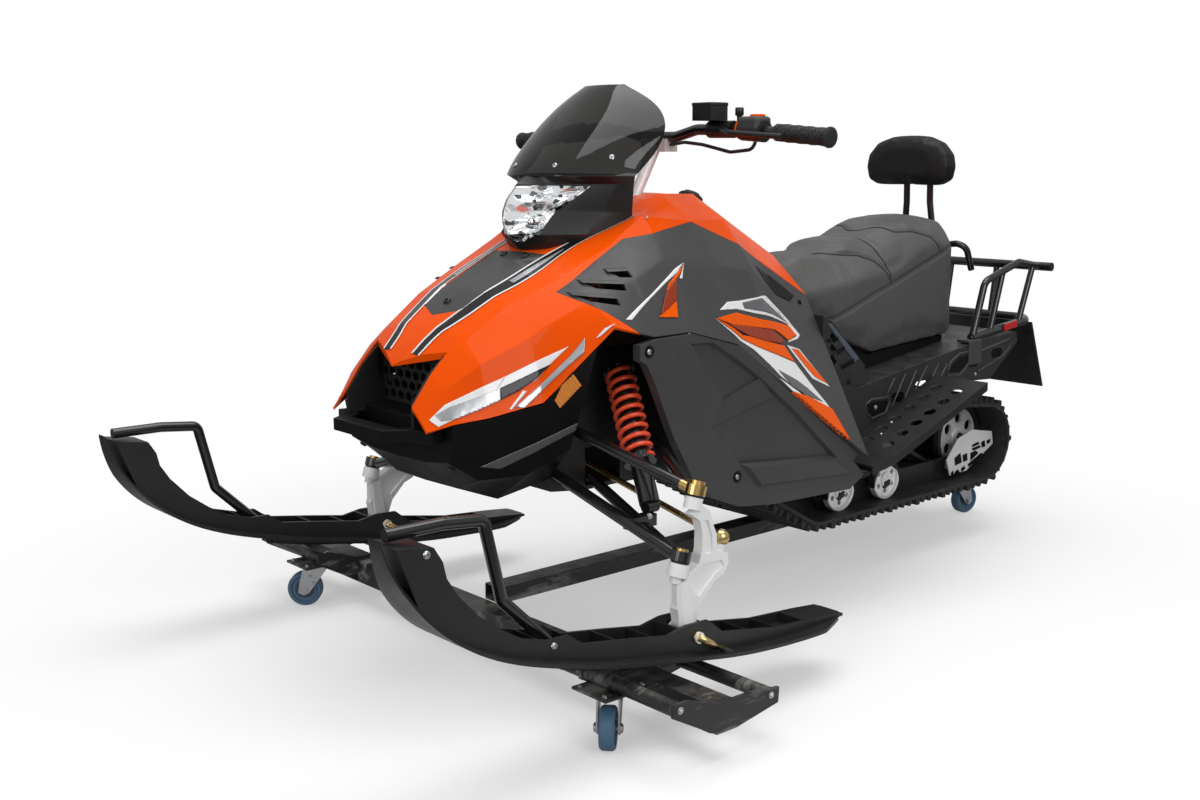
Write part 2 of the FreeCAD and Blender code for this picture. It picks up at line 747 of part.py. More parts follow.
def axle_with_wheels(label, radius, width, x, place, axle_radius, reach, hole_radius):
    """Two dished wheels turned in one piece with their axle along X, with a ring of holes through the discs."""
    body = new_body(label, Placement(place, Rotation(Vector(0, 1, 0), 90)))
    rim = radius - S.wheel_rim
    hub = axle_radius + 9
    half = width / 2
    web = width * 0.18
    side = [(0, reach), (axle_radius, reach)]
    for centre, ends in ((x, 1), (-x, -1)):
        high, low = centre + half, centre - half
        side += [
            (axle_radius, high), (hub, high), (hub + 2, centre + web), (rim - 2, centre + web), (rim, high), (radius - 2, high),
            (radius, high - 2), (radius, low + 2), (radius - 2, low), (rim, low), (rim - 2, centre - web), (hub + 2, centre - web),
            (hub, low), (axle_radius, low),
        ]
    side += [(axle_radius, -reach), (0, -reach)]
    revolve(body, side)
    ring = body.newObject("Sketcher::SketchObject", "Hole")
    ring.AttachmentSupport = [(origin_plane(body, "XY_Plane"), "")]
    ring.MapMode = "FlatFace"
    add_circles(ring, [((hub + rim) / 2, 0, hole_radius)])
    pattern_round(body, pocket_through(body, ring), ring, 6)
    return body


def rear_suspension():
    """Two swing arms between cross shafts in the tunnel's sides and cross tubes between the slide rails."""
    pieces = []
    for (high_y, high_z), (low_y, low_z) in (((290, 345), (415, 195)), ((450, 365), (735, 205))):
        reach = S.tunnel_width / 2 - S.tunnel_sheet - FIT
        low_reach = S.slide_x - S.slide_thickness / 2 - FIT
        pieces.append(rod(Vector(-reach, high_y, high_z), Vector(reach, high_y, high_z), 22))
        pieces.append(rod(Vector(-low_reach, low_y, low_z), Vector(low_reach, low_y, low_z), 18))
        for x in (-95, 95):
            pieces.append(rod(Vector(x, high_y, high_z), Vector(x, low_y, low_z), 18))
    pieces.append(rod(Vector(0, 450, 365), Vector(0, 415, 195), 40))
    return fuse(pieces)


BOGIES_Y = (330, 500)
belt_top = S.track_bottom + S.lug_height + S.belt_thickness


def idler_plate():
    """The white plate that carries the rear axle, bolted to the slide rail through a spacer."""
    body = new_body("idler_plate")
    outline = sketch(body, "YZ_Plane", [
        (772, 172), (756, 213), (800, 262), (860, 278), (950, 262), (957, 228), (842, 174),
    ], S.idler_plate_x)
    pad(body, outline, "Sizes.idler_plate_thickness", both_ways=False)
    spacer = sketch(body, "YZ_Plane", [(785, 184), (805, 184), (805, 204), (785, 204)], S.slide_x + S.slide_thickness / 2 + FIT)
    pad(body, spacer, S.idler_plate_x - S.slide_x - S.slide_thickness / 2 - FIT, both_ways=False)
    return body


def slide_rails():
    outline = [
        (S.track_front_y + 40, belt_top + 75), (S.track_front_y + 95, belt_top + FIT), (S.idler_y - 30, belt_top + FIT),
        (S.idler_y - 30, belt_top + 52), (S.track_front_y + 150, belt_top + 52), (S.track_front_y + 75, belt_top + 100),
    ]
    rail = side_prism(outline, S.slide_x - S.slide_thickness / 2, S.slide_x + S.slide_thickness / 2)
    bores = [
        Part.makeCylinder(9 + S.running_gap, 40, Vector(S.slide_x - 20, y, belt_top + S.bogie_diameter / 2 + FIT), Vector(1, 0, 0))
        for y in BOGIES_Y
    ]
    return rail.cut(Part.makeCompound(bores))


# Tunnel, running boards, rack


TUNNEL_TOP = [(FIREWALL_Y, 560), (250, 470), (330, 456), (740, 512), (952, 526)]


def tunnel_top(y):
    """Height of the tunnel's top at y."""
    for (y_a, z_a), (y_b, z_b) in zip(TUNNEL_TOP, TUNNEL_TOP[1:]):
        if y <= y_b:
            return z_a + (z_b - z_a) * (y - y_a) / (y_b - y_a)
    return TUNNEL_TOP[-1][1]


TUNNEL_LOWER = [(960, 500), (843, 417), (690, 425), (404, 310), (330, 297), (FIREWALL_Y, 297)]


def tunnel():
    """Folded sheet over the track, open below and at its ends, with rounded windows in its sides."""
    body = new_body("tunnel")
    pad(body, sketch(body, "YZ_Plane", TUNNEL_TOP + TUNNEL_LOWER), "Sizes.tunnel_width")
    roof = [(y, z - S.tunnel_sheet) for y, z in TUNNEL_TOP]
    (front_y, front_z), (rear_y, rear_z) = roof[0], roof[-1]
    hollow = [(front_y - 10, front_z + 2)] + roof[1:-1] + [(rear_y + 28, rear_z + 1), (rear_y + 28, 200), (front_y - 10, 200)]
    room = body.newObject("PartDesign::Pocket", "Room")
    room.Profile = sketch(body, "YZ_Plane", hollow)
    room.SideType = "Symmetric"
    room.setExpression("Length", "Sizes.tunnel_width - 2 * Sizes.tunnel_sheet")
    window = body.newObject("Sketcher::SketchObject", "Windows")
    window.AttachmentSupport = [(origin_plane(body, "YZ_Plane"), "")]
    window.MapMode = "FlatFace"
    for y, z in TUNNEL_WINDOWS:
        add_slot(window, y, z, S.tunnel_window_length, S.tunnel_window_height / 2)
    pocket_through(body, window)
    return body


TUNNEL_WINDOWS = [(470, 415), (560, 432), (770, 468), (870, 480)]


BOARD_LINE = [(194, 320), (272, 333), (610, 453)]


def running_board():
    """Sloping footboard with a folded outer lip and a double row of drain holes."""
    thick = S.board_thickness
    low = S.tunnel_width / 2 + FIT
    under = [(y, z - thick) for y, z in reversed(BOARD_LINE)]
    lip_under = [(y, z - S.board_lip) for y, z in reversed(BOARD_LINE)]
    body = new_body("running_board")
    pad(body, sketch(body, "YZ_Plane", BOARD_LINE + under, low), S.board_outer_x - low, both_ways=False)
    pad(body, sketch(body, "YZ_Plane", BOARD_LINE + lip_under, S.board_outer_x - thick), "Sizes.board_thickness", both_ways=False)
    for share in (0.3, 0.68):
        hole = body.newObject("Sketcher::SketchObject", "Holes")
        hole.AttachmentSupport = [(origin_plane(body, "XY_Plane"), "")]
        hole.MapMode = "FlatFace"
        add_circles(hole, [(low + (S.board_outer_x - low) * share, 305, S.board_hole_diameter / 2)])
        pattern_along(body, pocket_through(body, hole), hole, "V_Axis", 5 * S.board_hole_pitch, 6)
    return body


def rack_shape():
    d = S.rack_tube_diameter
    x = S.tunnel_width / 2 - d / 2
    top_z = 684
    top_y = 1062
    side = bent_tube([Vector(x, 775, 524), Vector(x, 820, 660), Vector(x, 965, 700), Vector(x, top_y, top_z)], d * 0.8, 30)
    front_z = tunnel_top(770) + d / 2 + FIT
    deck = bent_tube([Vector(x, 770, front_z), Vector(x, 1040, 552), Vector(-x, 1040, 552), Vector(-x, 770, front_z)], d, 50)
    bar = rod(Vector(-229, top_y, top_z), Vector(229, top_y, top_z), d)
    uprights = [rod(Vector(x, 850, 534), Vector(x, 895, 677), d * 0.7), rod(Vector(x, 975, 546), Vector(x, 1030, 688), d * 0.7)]
    pieces = [side, mirrored(side), deck, bar] + uprights + [mirrored(u) for u in uprights]
    for cross in (-70, 70):
        pieces.append(rod(Vector(cross, 1040, 552), Vector(cross, top_y, top_z), d * 0.7))
    return fuse(pieces)


# Seat and backrest


SEAT_STATIONS = {
    # y: top of the crown, half width of the crown, height of the shoulder, half width of the side
    215: (728, 58, 690, 92),
    262: (746, 70, 690, 116),
    345: (744, 78, 704, 131),
    380: (751, 82, 713, 134),
    412: (766, 86, 724, 135),
    470: (771, 92, 740, 137),
    515: (774, 95, 749, 138),
    572: (797, 98, 764, 138),
    624: (810, 100, 776, 138),
    711: (817, 99, 784, 137),
    762: (813, 93, 778, 133),
    782: (796, 86, 762, 127),
    795: (772, 80, 742, 120),
}
SEAT_UNDERSIDE = [(215, 640), (330, 560), (460, 508), (760, 528), (795, 540)]


def seat_shape():
    """Two level padded seat with a crowned top, cut to a sloping underside."""
    wires = []
    for y, (top, crown, shoulder, side) in SEAT_STATIONS.items():
        half = [(0, top), (crown, top - 5), (crown + 20, shoulder + 8), (side - 2, shoulder - 22), (side, 480)]
        left = [Vector(x, y, z) for x, z in half]
        right = [Vector(-p.x, p.y, p.z) for p in left[1:]]
        wires.append(polygon_wire(left + right[::-1]))
    crowned = Part.makeLoft(wires, True, True)
    (front_y, front_z), (rear_y, rear_z) = SEAT_UNDERSIDE[0], SEAT_UNDERSIDE[-1]
    below = [(front_y - 10, front_z + 7)] + SEAT_UNDERSIDE[1:-1] + [(rear_y + 10, rear_z + 3)]
    room = side_prism(below + [(rear_y + 10, 400), (front_y - 10, 400)], -200, 200)
    return crowned.cut(room)


def seat_base():
    """Closed plastic box between the tunnel and the seat."""
    front_y, rear_y = SEAT_UNDERSIDE[1][0], SEAT_UNDERSIDE[3][0]
    roof = [(y, z - FIT) for y, z in SEAT_UNDERSIDE[1:4]]
    base = [(y, tunnel_top(y) + FIT) for y in (rear_y, TUNNEL_TOP[3][0], front_y)]
    body = new_body("seat_base")
    pad(body, sketch(body, "YZ_Plane", roof + base), "2 * Sizes.seat_base_half_width")
    return body


def backrest():
    half = [(0, 893), (92, 893), (117, 906), (124, 938), (118, 968), (92, 996), (52, 1010), (0, 1012)]
    outline = half + [(-x, z) for x, z in half[-2:0:-1]]
    pad_block = front_prism(outline, S.backrest_rear_y - 50, S.backrest_rear_y)
    pad_soft = pad_block.makeFillet(15, pad_block.Edges)
    foot_z = tunnel_top(820 + S.post_diameter / 2) + FIT
    frame = []
    for side in (-1, 1):
        frame.append(bent_tube([
            Vector(side * 35, S.backrest_rear_y + FIT + S.post_diameter / 2, 960), Vector(side * 35, 804, 850),
            Vector(side * 50, 816, 700), Vector(side * 50, 820, foot_z),
        ], S.post_diameter, 60))
        frame.append(bent_tube([
            Vector(side * 55, 822, 742), Vector(side * 118, 812, 750), Vector(side * 132, 828, 738), Vector(side * 132, 852, 684),
        ], S.post_diameter, 40))
    return pad_soft, Part.makeCompound(frame)


# Steering column

rake = math.radians(S.column_rake)
column_way = Vector(0, math.sin(rake), math.cos(rake))
clamp = Vector(0, S.clamp_y, S.clamp_z)


# Bodywork: one master form, split into panels along its character lines

STATIONS = {
    # y: outer half outline from the top centre to the lower edge, as (x, z)
    -800: [(0, 548), (60, 548), (104, 545), (134, 522), (158, 500)],
    -760: [(0, 606), (60, 604), (108, 596), (152, 566), (182, 512)],
    -700: [(0, 665), (61, 662), (124, 648), (180, 610), (207, 520)],
    -607: [(0, 726), (68, 722), (144, 706), (208, 655), (240, 540)],
    -500: [(0, 774), (76, 772), (172, 752), (246, 716), (312, 672)],
    -400: [(0, 818), (80, 815), (178, 802), (250, 745), (306, 645)],
    -310: [(0, 856), (88, 858), (174, 856), (240, 780), (308, 646)],
    -185: [(0, 888), (92, 894), (180, 843), (245, 760), (312, 612)],
    -60: [(0, 888), (60, 890), (152, 842), (235, 740), (318, 522)],
    53: [(0, 834), (58, 828), (146, 752), (235, 630), (325, 442)],
    200: [(0, 752), (55, 748), (150, 670), (235, 520), (335, 338)],
}


def inset(points, thickness):
    """Moves an open half outline inwards by thickness, straight down at the centre line."""
    moved = []
    for number, (x, z) in enumerate(points):
        before = points[max(number - 1, 0)]
        after = points[min(number + 1, len(points) - 1)]
        if number == 0:
            moved.append((0, z - thickness))
            continue
        run = math.hypot(after[0] - before[0], after[1] - before[1])
        moved.append((x + thickness * (after[1] - before[1]) / run, z - thickness * (after[0] - before[0]) / run))
    return moved


def master_skin(thickness):
    wires = []
    for y, half_outline in STATIONS.items():
        outer = [Vector(x, y, z) for x, z in half_outline]
        inner = [Vector(x, y, z) for x, z in inset(half_outline, thickness)]
        left_out = outer[::-1]
        right_out = [Vector(-p.x, p.y, p.z) for p in outer[1:]]
        left_in = inner[::-1]
        right_in = [Vector(-p.x, p.y, p.z) for p in inner[1:]]
        wires.append(polygon_wire(left_out + right_out + (left_in + right_in)[::-1]))
    return Part.makeLoft(wires, True, True)


SIDE_WINDOW = [
    (-531, 727), (-366, 816), (-185, 841), (53, 748), (200, 668), (260, 500), (260, 250), (-60, 300), (-233, 500),
    (-418, 640), (-480, 684),
]


NOSE_OPENING = [(-112, -900), (-112, -800), (-115, -723), (0, -767), (115, -723), (112, -800), (112, -900)]


def brow(thickness, grow):
    """V shaped strip behind the edge of the nose opening, seen from above."""
    back = thickness + grow
    return top_prism([
        (-115 - grow, -723 - grow), (0, -767 - grow), (115 + grow, -723 - grow), (115 + grow, -723 + back), (0, -767 + back),
        (-115 - grow, -723 + back),
    ], 560, 700)


def bodywork():
    skin = master_skin(S.panel_thickness)
    window = side_prism(SIDE_WINDOW, -400, 400)
    insert_zone = top_prism([(-61, -652), (0, -676), (61, -652), (80, -467), (-80, -467)], 500, 1000)
    front_zone = top_prism([(-400, -900), (400, -900), (400, -300), (-400, -300)], 300, 1000)
    hood = skin.cut(window).common(front_zone).cut(insert_zone).cut(top_prism(NOSE_OPENING, 300, 700))
    below_brow = front_prism([(-130, 500), (-130, 621), (0, 594), (130, 621), (130, 500)], -900, -600)
    lip = brow(S.brow_thickness, 0).common(filled_form(0)).cut(below_brow)
    hood = hood.cut(below_brow.common(brow(S.brow_thickness, 0))).fuse(lip)
    insert = skin.common(insert_zone)
    sides = skin.common(window)
    rear_zone = top_prism([(-400, -300), (400, -300), (400, 260), (-400, 260)], 300, 1000)
    column_room = rod(clamp - column_way * 300, clamp, 52)
    cowl = skin.cut(window).common(rear_zone).cut(column_room)
    return hood, insert, sides, cowl


def filled_form(grow):
    """The master form grown outwards and filled down to a flat floor, for cutting what sits on it."""
    wires = []
    for y, half_outline in STATIONS.items():
        line = inset(half_outline, -grow)
        left = [Vector(x, y, z) for x, z in line][::-1]
        right = [Vector(-p.x, p.y, p.z) for p in left[::-1][1:]]
        low = line[-1][1] - 200
        wires.append(polygon_wire([Vector(left[0].x, y, low)] + left + right + [Vector(right[-1].x, y, low)]))
    return Part.makeLoft(wires, True, True)


LOWER_PANEL = [
    (190, 342), (170, 330), (210, 294), (160, 270), (-84, 279), (-180, 291), (-254, 320), (-312, 371), (-362, 456), (-411, 564),
    (-430, 598), (-446, 606), (-446, 634), (-400, 641),
]
LOWER_RECESS = [(-306, 620), (-262, 618), (-205, 586), (-132, 540), (-16, 452), (100, 352), (-168, 372), (-256, 462), (-222, 516)]
LOWER_RIB = [(-284, 490), (-123, 540), (-81, 498), (-262, 460)]
LOWER_STEP = [(-183, 378), (100, 350), (178, 300), (-127, 321)]


def lower_panel():
    """Moulded footwell panel: a raised rim round a sunk field, a slanting rib, a step and two bolt seats."""
    top = [(y, STATIONS[y][-1][1] - 2.6) for y in (-310, -185, -60, 53)]
    outer_x = S.lower_panel_x
    plate = side_prism(LOWER_PANEL + top, outer_x - S.lower_panel_depth, outer_x)
    sunk = tapered_prism(LOWER_RECESS, outer_x - S.panel_recess, outer_x + 1, 6)
    rib = side_prism(LOWER_RIB, outer_x - S.panel_recess - 1, outer_x - 4)
    step = tapered_prism(LOWER_STEP, outer_x - 1, outer_x + S.panel_step, -7)
    seats = [Part.makeCylinder(10, 5, Vector(outer_x - 4, y, z), Vector(1, 0, 0)) for y, z in PANEL_BOLTS]
    heads = [Part.makeCylinder(6, 4, Vector(outer_x - 5, y, z), Vector(1, 0, 0)) for y, z in PANEL_BOLTS]
    return fuse([plate.cut(sunk).cut(Part.makeCompound(seats)), rib, step] + heads)


PANEL_BOLTS = [(-424, 621), (-188, 352)]


def tapered_prism(outline, low_x, high_x, spread):
    """A side view prism whose outline grows by spread on its way from low_x to high_x."""
    low = polygon_wire([Vector(low_x, y, z) for y, z in outline])
    flat = polygon_wire([Vector(high_x, y, z) for y, z in outline])
    high = flat.makeOffset2D(spread, 2)
    return Part.makeLoft([low, high], True, True)


LOUVRES = [
    # front end and rear end of each lip, as (y, z)
    ((-436, 761), (-398, 762)),
    ((-490, 744), (-423, 740)),
    ((-519, 724), (-451, 716)),
]


def with_louvres(panel):
    """Cuts a row of slots below hooded lips into the side panel."""
    slots = []
    for (front_y, front_z), (rear_y, rear_z) in LOUVRES:
        slots.append(side_prism([(front_y + 6, front_z), (rear_y, rear_z), (rear_y + 1, rear_z - 13), (front_y + 16, front_z - 11)], -400, 400))
    hoods = []
    for (front_y, front_z), (rear_y, rear_z) in LOUVRES:
        hoods.append(side_prism([(front_y, front_z - 1), (rear_y, rear_z - 1), (rear_y, rear_z + 4), (front_y, front_z + 4)], -400, 400))
    proud = Part.makeCompound(hoods).common(filled_form(S.louvre_lip)).cut(filled_form(-3))
    return panel.cut(Part.makeCompound(slots)).fuse(proud)


def knee_panel():
    """Moulded panel between the side panel's rear edge and the seat base, with four vents."""
    front_y = 200 + FIT
    bottom = [(front_y, tunnel_top(front_y) + FIT), (250, tunnel_top(250) + FIT), (330, tunnel_top(330) + FIT), (350, tunnel_top(350) + FIT)]
    outline = [(350, 502), (232, 612), (front_y, 628)] + bottom
    body = new_body("knee_panel")
    inner_x = max(side for _, _, _, side in SEAT_STATIONS.values()) + FIT + 1
    pad(body, sketch(body, "YZ_Plane", outline, inner_x), S.tunnel_width / 2 - 3 - inner_x, both_ways=False)
    vents = body.newObject("PartDesign::Pocket", "Vents")
    vents.Profile = sketch(body, "YZ_Plane", [(232, 588), (252, 570), (244, 560), (224, 578)], S.tunnel_width / 2 - 3)
    vents.SideType = "One side"
    vents.Length = 12
    row = body.newObject("PartDesign::LinearPattern", "Row")
    row.Originals = [vents]
    row.Direction = (vents.Profile[0], ["V_Axis"])
    row.Length = 75
    row.Reversed = True
    row.Occurrences = 4
    body.Tip = row
    return body


def edge_line(y):
    """The master form's lower edge at y, as (x, z)."""
    stations = sorted(STATIONS)
    for before, after in zip(stations, stations[1:]):
        if before <= y <= after:
            share = (y - before) / (after - before)
            (x_a, z_a), (x_b, z_b) = STATIONS[before][-1], STATIONS[after][-1]
            return x_a + (x_b - x_a) * share, z_a + (z_b - z_a) * share


def belly_pan():
    """Closed underside of the nose."""
    wires = []
    for y, low in {
        -760: [(160, 440), (90, 430), (0, 428)],
        -700: [(168, 400), (100, 374), (0, 372)],
        -607: [(190, 400), (100, 338), (0, 336)],
        -525: [(215, 440), (150, 372), (0, 368)],
    }.items():
        edge_x, edge_z = edge_line(y)
        half = [(edge_x - 1, edge_z - 3.4)] + low
        left = [Vector(x, y, z) for x, z in half]
        right = [Vector(-x, y, z) for x, z in half[:-1]]
        wires.append(polygon_wire(left + right[::-1]))
    bumper_room = Part.makeBox(400, 80, 200, Vector(-200, -846, S.bumper_low - FIT))
    return Part.makeLoft(wires, True, True).cut(bumper_room)


def nose_bumper():
    """Moulded bumper bar with two arms that reach back under the hood's lip."""
    half = [
        (80, -846), (108, -806), (156, -790), (150, -760.3), (96, -780), (70, -812),
    ]
    body = new_body("nose_bumper", Placement(Vector(0, 0, S.bumper_low), Rotation()))
    outline = sketch(body, "XY_Plane", half + [(-x, y) for x, y in half[::-1]])
    pad(body, outline, "Sizes.bumper_height", both_ways=False)
    tray = sketch(body, "XY_Plane", half[:4] + [(-x, y) for x, y in half[:4][::-1]])
    pad(body, tray, "Sizes.bumper_floor", both_ways=False)
    return body


def grille_shape():
    """Six sided mesh at the back of the nose opening, with a cheek plate at each side of it."""
    low = S.bumper_low + S.bumper_height + FIT
    mesh = Part.makeBox(222, 6, 160, Vector(-111, S.grille_y, low))
    holes = []
    pitch = 26
    for row in range(5):
        for column in range(-4, 5):
            x = column * pitch + (pitch / 2 if row % 2 else 0)
            z = 529 + row * pitch * 0.8
            corners = [
                Vector(x + 11 * math.cos(math.radians(60 * k + 30)), S.grille_y - 20, z + 9 * math.sin(math.radians(60 * k + 30)))
                for k in range(6)
            ]
            holes.append(Part.Face(polygon_wire(corners)).extrude(Vector(0, 40, 0)))
    cheek = top_prism([(105, -797), (111.5, -797), (111.5, S.grille_y + 3), (105, S.grille_y + 3)], low, low + 160)
    whole = fuse([mesh.cut(Part.makeCompound(holes)), cheek, mirrored(cheek)]).common(filled_form(-S.panel_thickness - 0.6))
    return whole.cut(belly_pan().translated(Vector(0, 0, FIT))).cut(brow(S.brow_thickness, 0.5))


# Lamp: height, half width, y of the middle ridge, y of the side edge
LAMP_LEVELS = [
    (804, 8, -483, -477), (822, 58, -508, -464), (845, 61, -515, -444), (864, 64, -515, -424), (888, 88, -505, -403),
    (914, 112, -481, -380),
]
POD_LEVELS = [
    (792, [(0, -470), (60, -447), (108, -385), (145, -300), (0, -235)]),
    (822, [(0, -499), (66, -464), (114, -398), (149, -308), (0, -237)]),
    (864, [(0, -508), (72, -424), (126, -368), (154, -316), (0, -240)]),
    (916, [(0, -476), (117, -377), (150, -350), (170, -326), (0, -246)]),
    (931.7, [(0, -450), (95, -423), (150, -374), (176, -328), (0, -250)]),
]


def stacked(levels):
    """A body through plan view outlines of its left half, given from the front to the back."""
    wires = []
    for z, half in levels:
        left = [Vector(x, y, z) for x, y in half]
        right = [Vector(-p.x, p.y, p.z) for p in left[1:-1]]
        wires.append(polygon_wire(left + right[::-1]))
    return Part.makeLoft(wires, True, True)


def lamp_body(grow, ahead):
    """The lamp, or with grow the room for it, which reaches ahead of it."""
    levels = []
    for z, half_width, ridge_y, side_y in LAMP_LEVELS:
        wide = half_width + grow
        half = [(0, ridge_y - ahead), (wide, side_y - ahead), (wide, side_y + 34 + grow), (0, ridge_y + 64 + grow)]
        levels.append((z, half))
    (low_z, low_half), (high_z, high_half) = levels[0], levels[-1]
    levels[0] = (low_z - grow, low_half)
    levels[-1] = (high_z + grow, high_half)
    return stacked(levels)


def headlight_shape():
    return lamp_body(0, 0).cut(filled_form(0.5))


def pod_shape():
    return stacked(POD_LEVELS).cut(lamp_body(FIT, 80)).cut(filled_form(0.5))


def windscreen_shape():
    wires = []
    for z, half_width, tip_y, side_y in ((932, 176, -449, -327), (990, 180, -405, -268), (1040, 168, -350, -246), (1080, 120, -303, -246),
                                         (1107, 60, -266, -250)):
        edges = []
        ends = []
        for shift in (0, S.screen_thickness):
            a = Vector(-half_width + shift, side_y + shift, z)
            b = Vector(0, tip_y + shift, z)
            c = Vector(half_width - shift, side_y + shift, z)
            ends.append((a, c))
            edges.append(Part.Arc(a, b, c).toShape())
        first, second = ends
        wires.append(Part.Wire([
            edges[0],
            Part.LineSegment(first[1], second[1]).toShape(),
            edges[1],
            Part.LineSegment(second[0], first[0]).toShape(),
        ]))
    return Part.makeLoft(wires, True, False)


def fuel_cap():
    """Ribbed cap that lies flat on the sloping cowl behind the steering column."""
    (_, high_z), (_, low_z) = STATIONS[-60][0], STATIONS[53][0]
    slope = math.atan2(high_z - low_z, 113)
    seat_z = high_z + (S.cap_y + 60) * (low_z - high_z) / 113 + FIT + 0.5
    body = new_body("fuel_cap", Placement(Vector(0, S.cap_y, seat_z), Rotation(Vector(1, 0, 0), -math.degrees(slope))))
    rim = S.cap_diameter / 2
    revolve(body, [(0, 0), (rim - 2, 0), (rim, 3), (rim, 18), (rim - 3, 21), (rim - 9, 22), (rim - 10, 26), (0, 27)])
    notch = body.newObject("Sketcher::SketchObject", "Notch")
    notch.AttachmentSupport = [(origin_plane(body, "XY_Plane"), "")]
    notch.MapMode = "FlatFace"
    add_circles(notch, [(rim + 2, 0, 3.5)])
    pattern_round(body, pocket_through(body, notch), notch, 16)
    return body


def marker_lamp():
    """Amber side lamp on the underside's flank, just below the hood's wing."""
    blank = side_prism([(-582, 545), (-572, 571), (-538, 585), (-529, 566)], 200, 300)
    flank = belly_pan()
    skin = flank.translated(Vector(3.5, -2.3, 0)).cut(flank.translated(Vector(FIT, -0.2, 0)))
    lens = doc.addObject("Part::Feature", "marker_lens")
    lens.Shape = blank.common(skin)
    return lens


def side_reflector():
    """Flat reflector on the outer side of the rack's deck tube."""
    tube_x = S.tunnel_width / 2
    body = new_body("side_reflector")
    outline = sketch(body, "YZ_Plane", [(894, 533), (947, 539), (947, 556), (894, 550)], tube_x + FIT)
    pad(body, outline, "Sizes.reflector_thickness", both_ways=False)
    return body


# Handlebar


def brake_cable():
    """Control cable that hangs in a loop from the left switch to the column's clamp."""
    clamp_side = S.clamp_block_width / 2 + FIT
    path = [
        Vector(276, -101, 1005), Vector(268, -104, 980), Vector(215, -111, 975), Vector(140, -112, 990), Vector(85, -108, 995),
        Vector(clamp_side - 5, -99, 990),
    ]
    clamp_room = Part.makeBox(2 * clamp_side, 60, 60, Vector(-clamp_side, -130, 960))
    return bent_tube(path, S.cable_diameter, 30).cut(switch_barrel(S.switch_diameter + 2 * FIT)).cut(clamp_room)


def switch_barrel(diameter):
    return rod(Vector(240, -101, 1018), Vector(296, -101, 1014), diameter)


def handlebar_shapes():
    end_x = S.bar_half_length + 46
    path = [
        Vector(-end_x, -101, 1001), Vector(-250, -101, 1018), Vector(-110, -98, 1020), Vector(-50, -98, 1006), Vector(50, -98, 1006),
        Vector(110, -98, 1020), Vector(250, -101, 1018), Vector(end_x, -101, 1001),
    ]
    bar = bent_tube(path, S.bar_diameter, 60)
    grips = []
    for side in (-1, 1):
        start = Vector(side * (end_x - S.grip_length - 5), -101, 1001 + (S.grip_length + 5) * 17 / 208)
        stop = Vector(side * (end_x - 2), -101, 1001.2)
        grip = rod(start, stop, S.grip_diameter).cut(rod(start, stop, S.bar_diameter + 0.1))
        grips.append(grip)
    riser = rod(clamp - column_way * 675, clamp - column_way * (S.bar_diameter / 2 + 1), S.column_diameter)
    pitman_way = Vector(0, math.cos(rake), -math.sin(rake))
    foot = clamp - column_way * 670
    riser = riser.fuse(rod(foot, foot + pitman_way * 60, 16))
    riser = riser.fuse(Part.makeBox(S.clamp_block_width, 36, 26, Vector(-S.clamp_block_width / 2, S.clamp_y - 18, S.clamp_z - 30)))
    bore = rod(Vector(-60, -98, 1006), Vector(60, -98, 1006), S.bar_diameter + 0.2)
    reservoir = Part.makeBox(52, 46, 34, Vector(148, -150, 1036))
    perch = rod(Vector(150, -100, 1019.7), Vector(215, -100, 1019), 34).cut(rod(Vector(140, -99, 1020), Vector(225, -101, 1018.5), 24))
    lever = bent_tube([Vector(200, -119, 1018), Vector(245, -148, 1012), Vector(390, -158, 1003)], 11, 40)
    switch = switch_barrel(S.switch_diameter).cut(rod(Vector(230, -101, 1019.6), Vector(306, -101, 1013.4), 24))
    controls = Part.makeCompound([fuse([reservoir, perch, lever])] + [switch, mirrored(switch), mirrored(perch)])
    return bar, Part.makeCompound(grips), riser.cut(bore), controls


# Assembly

box_tube("dolly_crossbar", Vector(0, S.crossbar_y, crossbar_low), "YZ_Plane", S.crossbar_width, S.crossbar_width,
         "2 * Sizes.crossbar_half_length")
box_tube("dolly_rail", Vector(0, (rail_front_y + S.rail_rear_y) / 2, rail_low), "XZ_Plane", S.rail_width,
         rail_top - rail_low, S.rail_rear_y - rail_front_y)
feature("ski_cradles", both_sides(ski_cradle()))
plate_front_y = S.caster_front_y - S.caster_plate_length / 2
plate_rear_y = S.crossbar_y - S.crossbar_width / 2
together([
    caster_plate("plate_left", S.caster_front_x, plate_front_y, plate_rear_y),
    caster_plate("plate_right", -S.caster_front_x, plate_front_y, plate_rear_y),
    caster_plate("plate_rear", 0, S.caster_rear_y - S.caster_plate_length / 2, S.caster_rear_y + S.caster_plate_length / 2),
], "caster_plates")
for side, (place, turn) in CASTERS.items():
    feature(f"caster_fork_{side}", caster_fork_shape(), Placement(place, Rotation(Vector(0, 0, 1), turn)))
    caster_wheel(side, place, turn)

ski = ski_shape()
loop = ski_loop_shape()
spindle = spindle_shape()
tie_rod = tie_rod_shape()
for side, turned in (("left", lambda shape: shape), ("right", mirrored)):
    feature(f"ski_{side}", turned(ski))
    feature(f"ski_loop_{side}", turned(loop))
    feature(f"spindle_{side}", turned(spindle))
    feature(f"tie_rod_{side}", turned(tie_rod))

lower_arm, upper_arm = arm_shapes()
shock, spring = shock_parts()
feature("lower_arms", both_sides(lower_arm))
feature("upper_arms", both_sides(upper_arm))
feature("shock_absorbers", both_sides(shock))
feature("shock_springs", both_sides(spring))

